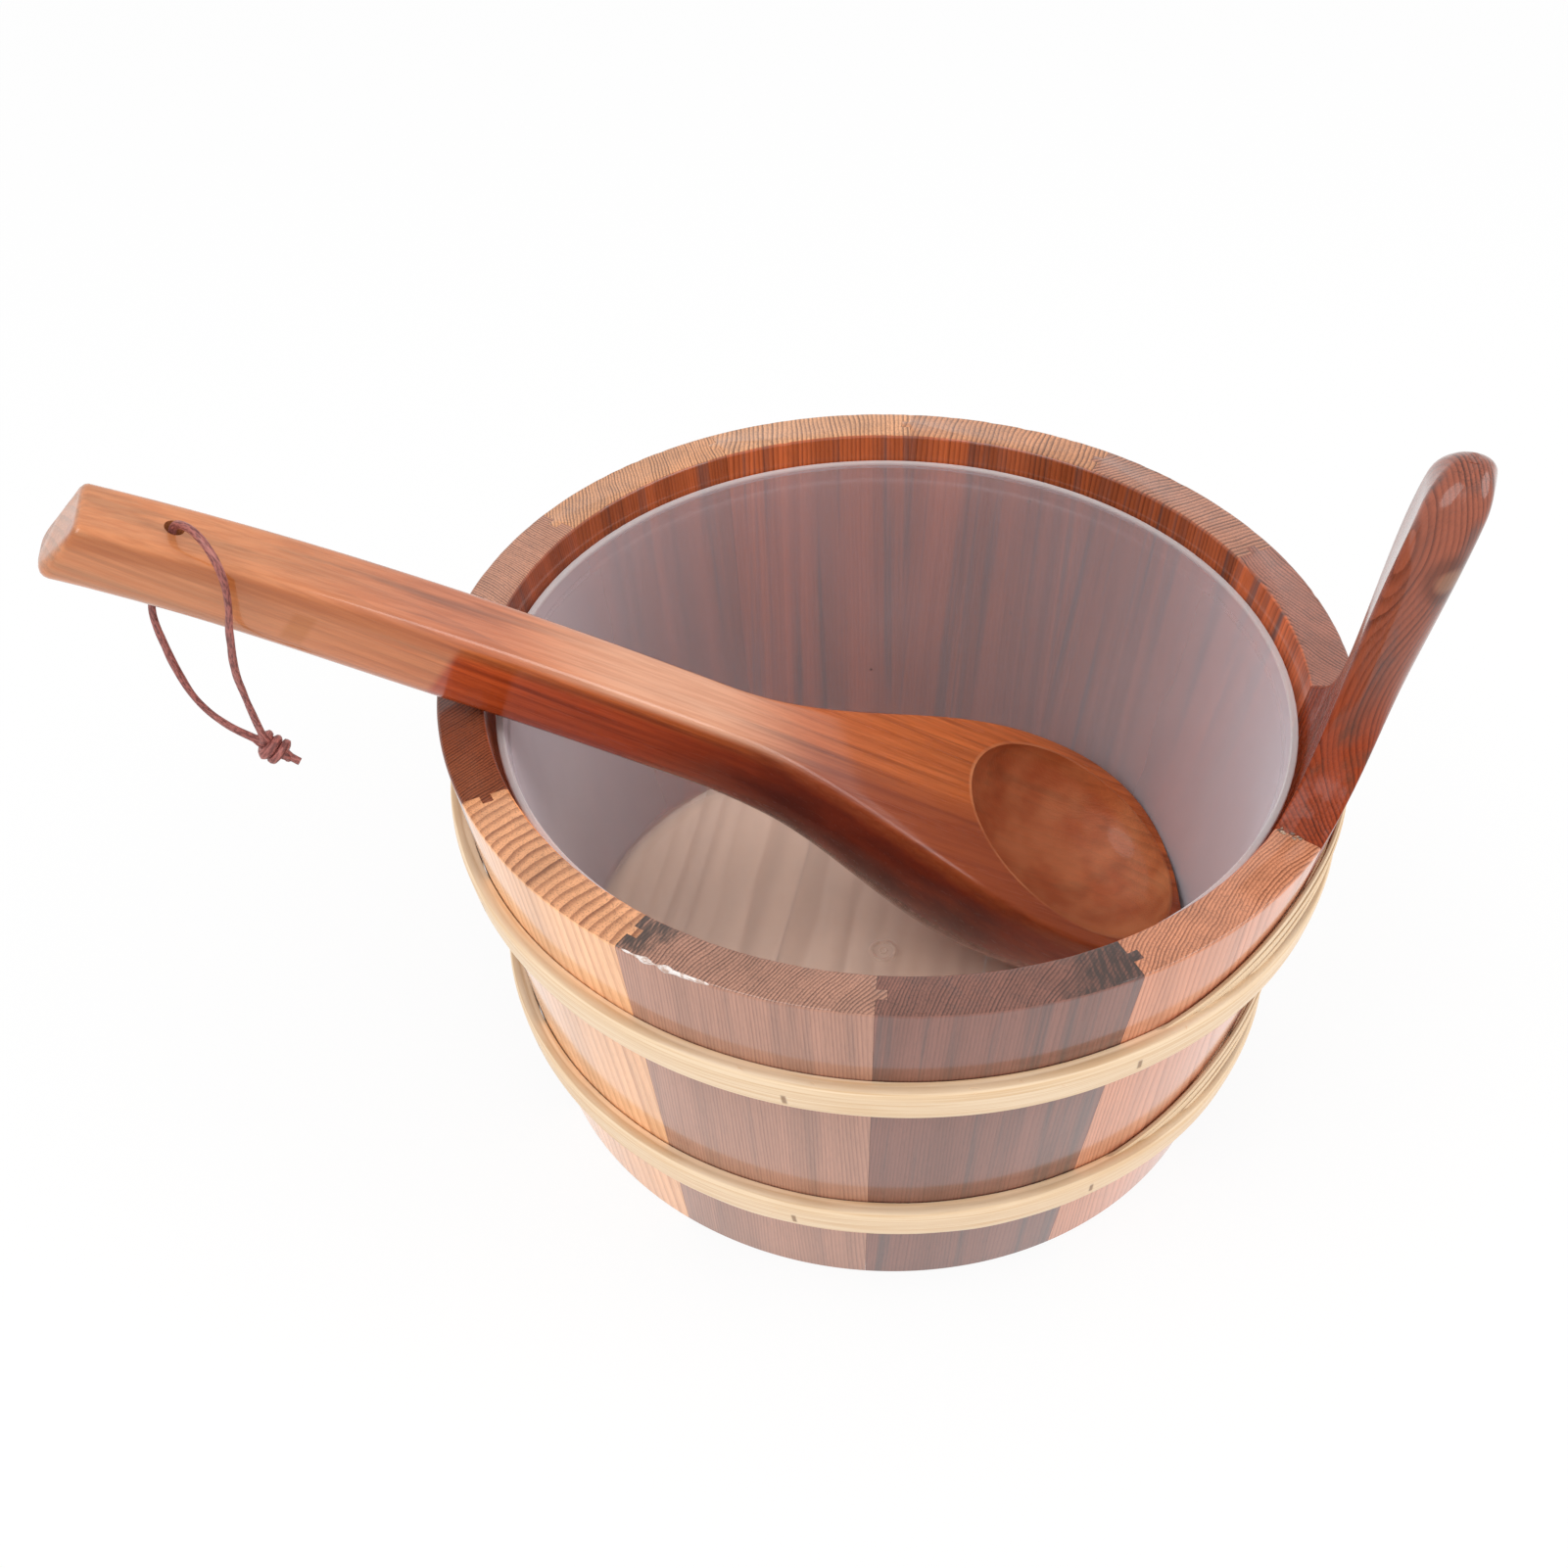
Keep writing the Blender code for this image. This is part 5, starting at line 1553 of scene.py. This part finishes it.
def lace_tube(name, points, radius_at, seed):
    """A soft leather lace: an uneven oval that twists slowly, with its fibre field."""
    rings = []
    field = []
    side = (points[1] - points[0]).orthogonal().normalized()
    along = 0.0
    for place, point in enumerate(points):
        ahead = points[min(place + 1, len(points) - 1)] - points[max(place - 1, 0)]
        ahead.normalize()
        side = (side - ahead * side.dot(ahead)).normalized()
        rise = ahead.cross(side)
        if place:
            along += (point - points[place - 1]).length
        swell = 1.0 + 0.12 * noise.noise(Vector((along / 0.006, seed, 0.0)))
        ring = []
        marks = []
        for corner in range(LACE_SIDES):
            turn = FULL_TURN * corner / LACE_SIDES
            twist = turn + along / 0.011
            oval = 1.0 + 0.10 * math.cos(2.0 * twist) + 0.05 * math.cos(5.0 * twist)
            size = radius_at(point) * swell * oval
            ring.append(point + (side * math.cos(turn) + rise * math.sin(turn)) * size)
            marks.append(Vector((along, math.cos(twist), math.sin(twist))))
        rings.append(ring)
        field.append(marks)
    return loft(name, rings, field=field)


def lace_radius(ladle, lace):
    """Radius of the lace at a point: a little fuller where it is drawn up in the knot."""
    centre = knot_point(ladle, lace, 0.0)

    def radius_at(point):
        near = smoothstep((6.0 * MM - (point - centre).length) / (2.5 * MM))
        return lace.radius * (1.0 + 0.50 * near)

    return radius_at


def leather(other):
    """Red-brown lace leather with rubbed high places and dark fibrous hollows."""
    made, start = new_surface("leather_lace")
    place = start.node("ShaderNodeAttribute", {"attribute_name": "fibre"}, output="Vector")
    fibres = place.noise((0.0016, 0.35, 0.35), 3.0)
    patches = place.noise((0.009, 1.1, 1.1), 2.0, 6.0)
    dark = fibres.step(0.40, 0.62)
    tone = (dark * 0.85).mix(paint(other.leather), paint(other.leather_dark))
    tone = (patches.step(0.50, 0.72) * 0.55).mix(tone, paint(other.leather_rubbed))
    close_surface(
        start,
        Base_Color=tone,
        Roughness=fibres * 0.25 + 0.42,
        Normal=bumped(fibres * -1.0, 0.7, 0.0004),
        Coat_Weight=0.10,
        Coat_Roughness=0.35,
    )
    return made


class BUCKET_OT_lace(bpy.types.Operator):
    """The lace through the ladle's handle, knotted to itself, with its cut end"""

    bl_idname = "bucket.lace"
    bl_label = "Lace"

    def execute(self, context):
        ladle = context.scene.bucket_ladle
        lace = context.scene.bucket_lace
        surface = leather(context.scene.bucket_other)
        route = even_points(lace_route(ladle, lace), LACE_STEPS)
        mesh = lace_tube("lace_loop", route, lace_radius(ladle, lace), 1.0)
        loop = dress(mesh, surface, SOFT_CREASE, "ladle", "leather_lace", "lanyard_cord", "lanyard_knot")
        half = 0.5 * (2 * lace.radius + lace.knot_gap) * lace.knot_turns
        end = [
            knot_point(ladle, lace, half - 0.4 * MM, 0.4 * MM, 2.6),
            knot_point(ladle, lace, half + 2.4 * MM, 0.3 * MM, 2.4),
            knot_point(ladle, lace, lace.tail),
        ]
        mesh = lace_tube("lace_tail", even_points(end, TAIL_STEPS), lace_radius(ladle, lace), 4.0)
        tail = dress(mesh, surface, SOFT_CREASE, "ladle", "leather_lace")
        hole_point(ladle, lace, 0.0)
        2 * lace.radius
        return {"FINISHED"}


# Bearings in degrees of the ends of the run of varnish, and its greatest radius
BEAD_ENDS = (239.7, 252.3)
BEAD_RADIUS = 1.20 * MM


def varnish_bead(tub):
    """A run of thick varnish that has set on the outer arris of the rim."""
    rings = []
    for step in range(BEAD_STEPS + 1):
        share = step / BEAD_STEPS
        bearing = math.radians(between(*BEAD_ENDS, share))
        lump = 0.55 + 0.45 * noise.noise(Vector((9.0 * share, 2.0, 5.0)))
        size = BEAD_RADIUS * math.sqrt(max(math.sin(math.pi * share), 0.004)) * lump
        out = around(1.0, bearing, 0.0)
        centre = out * (tub.rim_radius - 0.55 * MM) + Vector((0.0, 0.0, tub.height - 0.5 * MM))
        ring = []
        for corner in range(BEAD_SIDES):
            turn = FULL_TURN * corner / BEAD_SIDES
            ring.append(centre + out * (size * math.cos(turn)) + Vector((0.0, 0.0, size * math.sin(turn))))
        rings.append(ring)
    return loft("varnish_bead", rings)


def glue_specks(tub):
    """Crumbs of old glue along the joint in front of the grip."""
    work = bmesh.new()
    joint = joint_angle(tub, tub.stave_count - 1)
    noise.seed_set(GLUE_SEED)
    for speck in range(GLUE_SPECKS):
        shift = noise.noise_vector(Vector((1.7 * speck, 3.1, 0.6)))
        size = (0.30 + 0.32 * abs(shift.z)) * MM
        radius = between(inner_radius(tub, tub.height), tub.rim_radius, 0.10 + 0.030 * speck)
        bearing = joint + 0.018 * shift.x
        place = around(radius, bearing, tub.height + 0.2 * size)
        made = bmesh.ops.create_icosphere(work, subdivisions=2, radius=size)
        for vert in made["verts"]:
            vert.co *= 1.0 + 0.5 * noise.noise(vert.co.normalized() * 1.6 + Vector((speck, 0.0, 0.0)))
            vert.co.x *= 1.4
            vert.co += place
    return settled("glue_specks", work)


def clear_finish(name, base, spot, rough):
    """Set varnish or glue: a base colour with small spots of another."""
    made, start = new_surface(name)
    place = start.node("ShaderNodeTexCoord", output="Object")
    spots = place.noise((0.0016, 0.0016, 0.0016), 3.0)
    close_surface(
        start,
        Base_Color=spots.step(0.42, 0.62).mix(paint(base), paint(spot)),
        Roughness=spots * 0.2 + rough,
        Normal=bumped(spots, 0.3, 0.0002),
        Coat_Weight=0.8,
        Coat_Roughness=0.04,
    )
    return made


class BUCKET_OT_marks(bpy.types.Operator):
    """Marks of the making: a run of varnish on the rim and crumbs of glue at the grip"""

    bl_idname = "bucket.marks"
    bl_label = "Varnish and glue marks"

    def execute(self, context):
        tub = context.scene.bucket_tub
        other = context.scene.bucket_other
        # The run of varnish is painted pale: a painted highlight along the rim's outer arris
        varnish = clear_finish("set_varnish", other.varnish, other.varnish_spot, 0.05)
        dress(varnish_bead(tub), varnish, SOFT_CREASE, "tub", "cedar_middle")
        glue = clear_finish("set_glue", other.glue, other.glue_spot, 0.35)
        dress(glue_specks(tub), glue, SOFT_CREASE, "tub", "cedar_handle")
        return {"FINISHED"}


def soft_lamp(name, watts, size, place, target):
    data = bpy.data.lights.new(name, "AREA")
    data.energy = watts
    data.shape = "DISK"
    data.size = size
    lamp = new_object(name, data)
    lamp.location = place
    lamp.rotation_euler = (Vector(target) - lamp.location).to_track_quat("-Z", "Y").to_euler()


def seen_directly(start):
    """1 for rays that show a surface itself: from the camera, or through gloss and clear plastic."""
    path = start.node("ShaderNodeLightPath", output="Is Camera Ray")
    gloss = start.node("ShaderNodeLightPath", output="Is Glossy Ray")
    clear = start.node("ShaderNodeLightPath", output="Is Transmission Ray")
    return path.math("MAXIMUM", gloss).math("MAXIMUM", clear)


class BUCKET_OT_stage(bpy.types.Operator):
    """Camera, white surround, two large soft lamps and a pale floor"""

    bl_idname = "bucket.stage"
    bl_label = "Stage"

    def execute(self, context):
        scene = context.scene
        stage = scene.bucket_stage
        scene.view_settings.view_transform = "Standard"

        camera = new_object("camera", bpy.data.cameras.new("camera"))
        camera.location = stage.camera_place
        camera.rotation_euler = stage.camera_tilt
        camera.data.sensor_width = 36.0
        camera.data.lens = stage.lens
        camera.data.clip_start = 0.01
        scene.camera = camera

        world = bpy.data.worlds.new("white_surround")
        world.use_nodes = True
        world.node_tree.nodes.clear()
        start = Field(world.node_tree)
        strength = seen_directly(start) * (1.0 - stage.sky) + stage.sky
        sky = start.node("ShaderNodeBackground", None, {"Color": paint((1, 1, 1)), "Strength": strength})
        start.node("ShaderNodeOutputWorld", None, {"Surface": sky})
        scene.world = world

        target = stage.lamp_target
        soft_lamp("key_lamp", stage.key_watts, stage.key_size, stage.key_place, target)
        soft_lamp("fill_lamp", stage.fill_watts, stage.fill_size, stage.fill_place, target)

        surface, start = new_surface("pale_floor")
        grain = start.node("ShaderNodeTexCoord", output="Object").noise((0.4, 0.4, 0.4))
        bright = scene.bucket_other.floor
        pale = grain.mix(paint([0.985 * channel for channel in bright]), paint(bright))
        matt = start.node("ShaderNodeBsdfDiffuse", None, {"Color": pale})
        white = start.node("ShaderNodeEmission", None, {"Color": paint((1, 1, 1)), "Strength": 1.0})
        share = seen_directly(start) * (1.0 - stage.shadow_share)
        mixed = start.node("ShaderNodeMixShader", None, {0: share, 1: matt, 2: white})
        start.node("ShaderNodeOutputMaterial", None, {"Surface": mixed})
        work = bmesh.new()
        bmesh.ops.create_grid(work, x_segments=FLOOR_CELLS, y_segments=FLOOR_CELLS, size=stage.floor_half)
        floor = plain("studio_floor", work)
        floor.location.z = -0.2 * MM
        floor.data.materials.append(surface)
        return {"FINISHED"}


OPERATORS = [
    BUCKET_OT_stage,
    BUCKET_OT_lace,
    BUCKET_OT_staves,
    BUCKET_OT_handle,
    BUCKET_OT_marks,
    BUCKET_OT_base,
    BUCKET_OT_hoops,
    BUCKET_OT_liner,
    BUCKET_OT_ladle,
]
GROUPS = {
    "bucket_tub": TubSizes,
    "bucket_grip": GripSizes,
    "bucket_hoop": HoopSizes,
    "bucket_liner": LinerSizes,
    "bucket_ladle": LadleSizes,
    "bucket_lace": LaceSizes,
    "bucket_cedar": CedarColours,
    "bucket_other": OtherColours,
    "bucket_stage": StageSettings,
}


class BUCKET_PT_panel(bpy.types.Panel):
    """Buttons for the pieces of the bucket"""

    bl_idname = "BUCKET_PT_panel"
    bl_label = "Sauna bucket"
    bl_space_type = "VIEW_3D"
    bl_region_type = "UI"
    bl_category = "Bucket"

    def draw(self, context):
        for operator in OPERATORS:
            self.layout.operator(operator.bl_idname)


def register():
    for name, group in GROUPS.items():
        bpy.utils.register_class(group)
        setattr(bpy.types.Scene, name, bpy.props.PointerProperty(type=group))
    for operator in OPERATORS:
        bpy.utils.register_class(operator)
    bpy.utils.register_class(BUCKET_PT_panel)


def unregister():
    bpy.utils.unregister_class(BUCKET_PT_panel)
    for operator in reversed(OPERATORS):
        bpy.utils.unregister_class(operator)
    for name, group in GROUPS.items():
        delattr(bpy.types.Scene, name)
        bpy.utils.unregister_class(group)


# Objects that a new scene may start with
START_OBJECTS = ("Cube", "Light", "Camera")


def main():
    register()
    for obj in [obj for obj in bpy.data.objects if obj.name in START_OBJECTS]:
        bpy.data.objects.remove(obj)
    for operator in OPERATORS:
        group, name = operator.bl_idname.split(".")
        getattr(getattr(bpy.ops, group), name)()


if __name__ == "__main__":
    main()
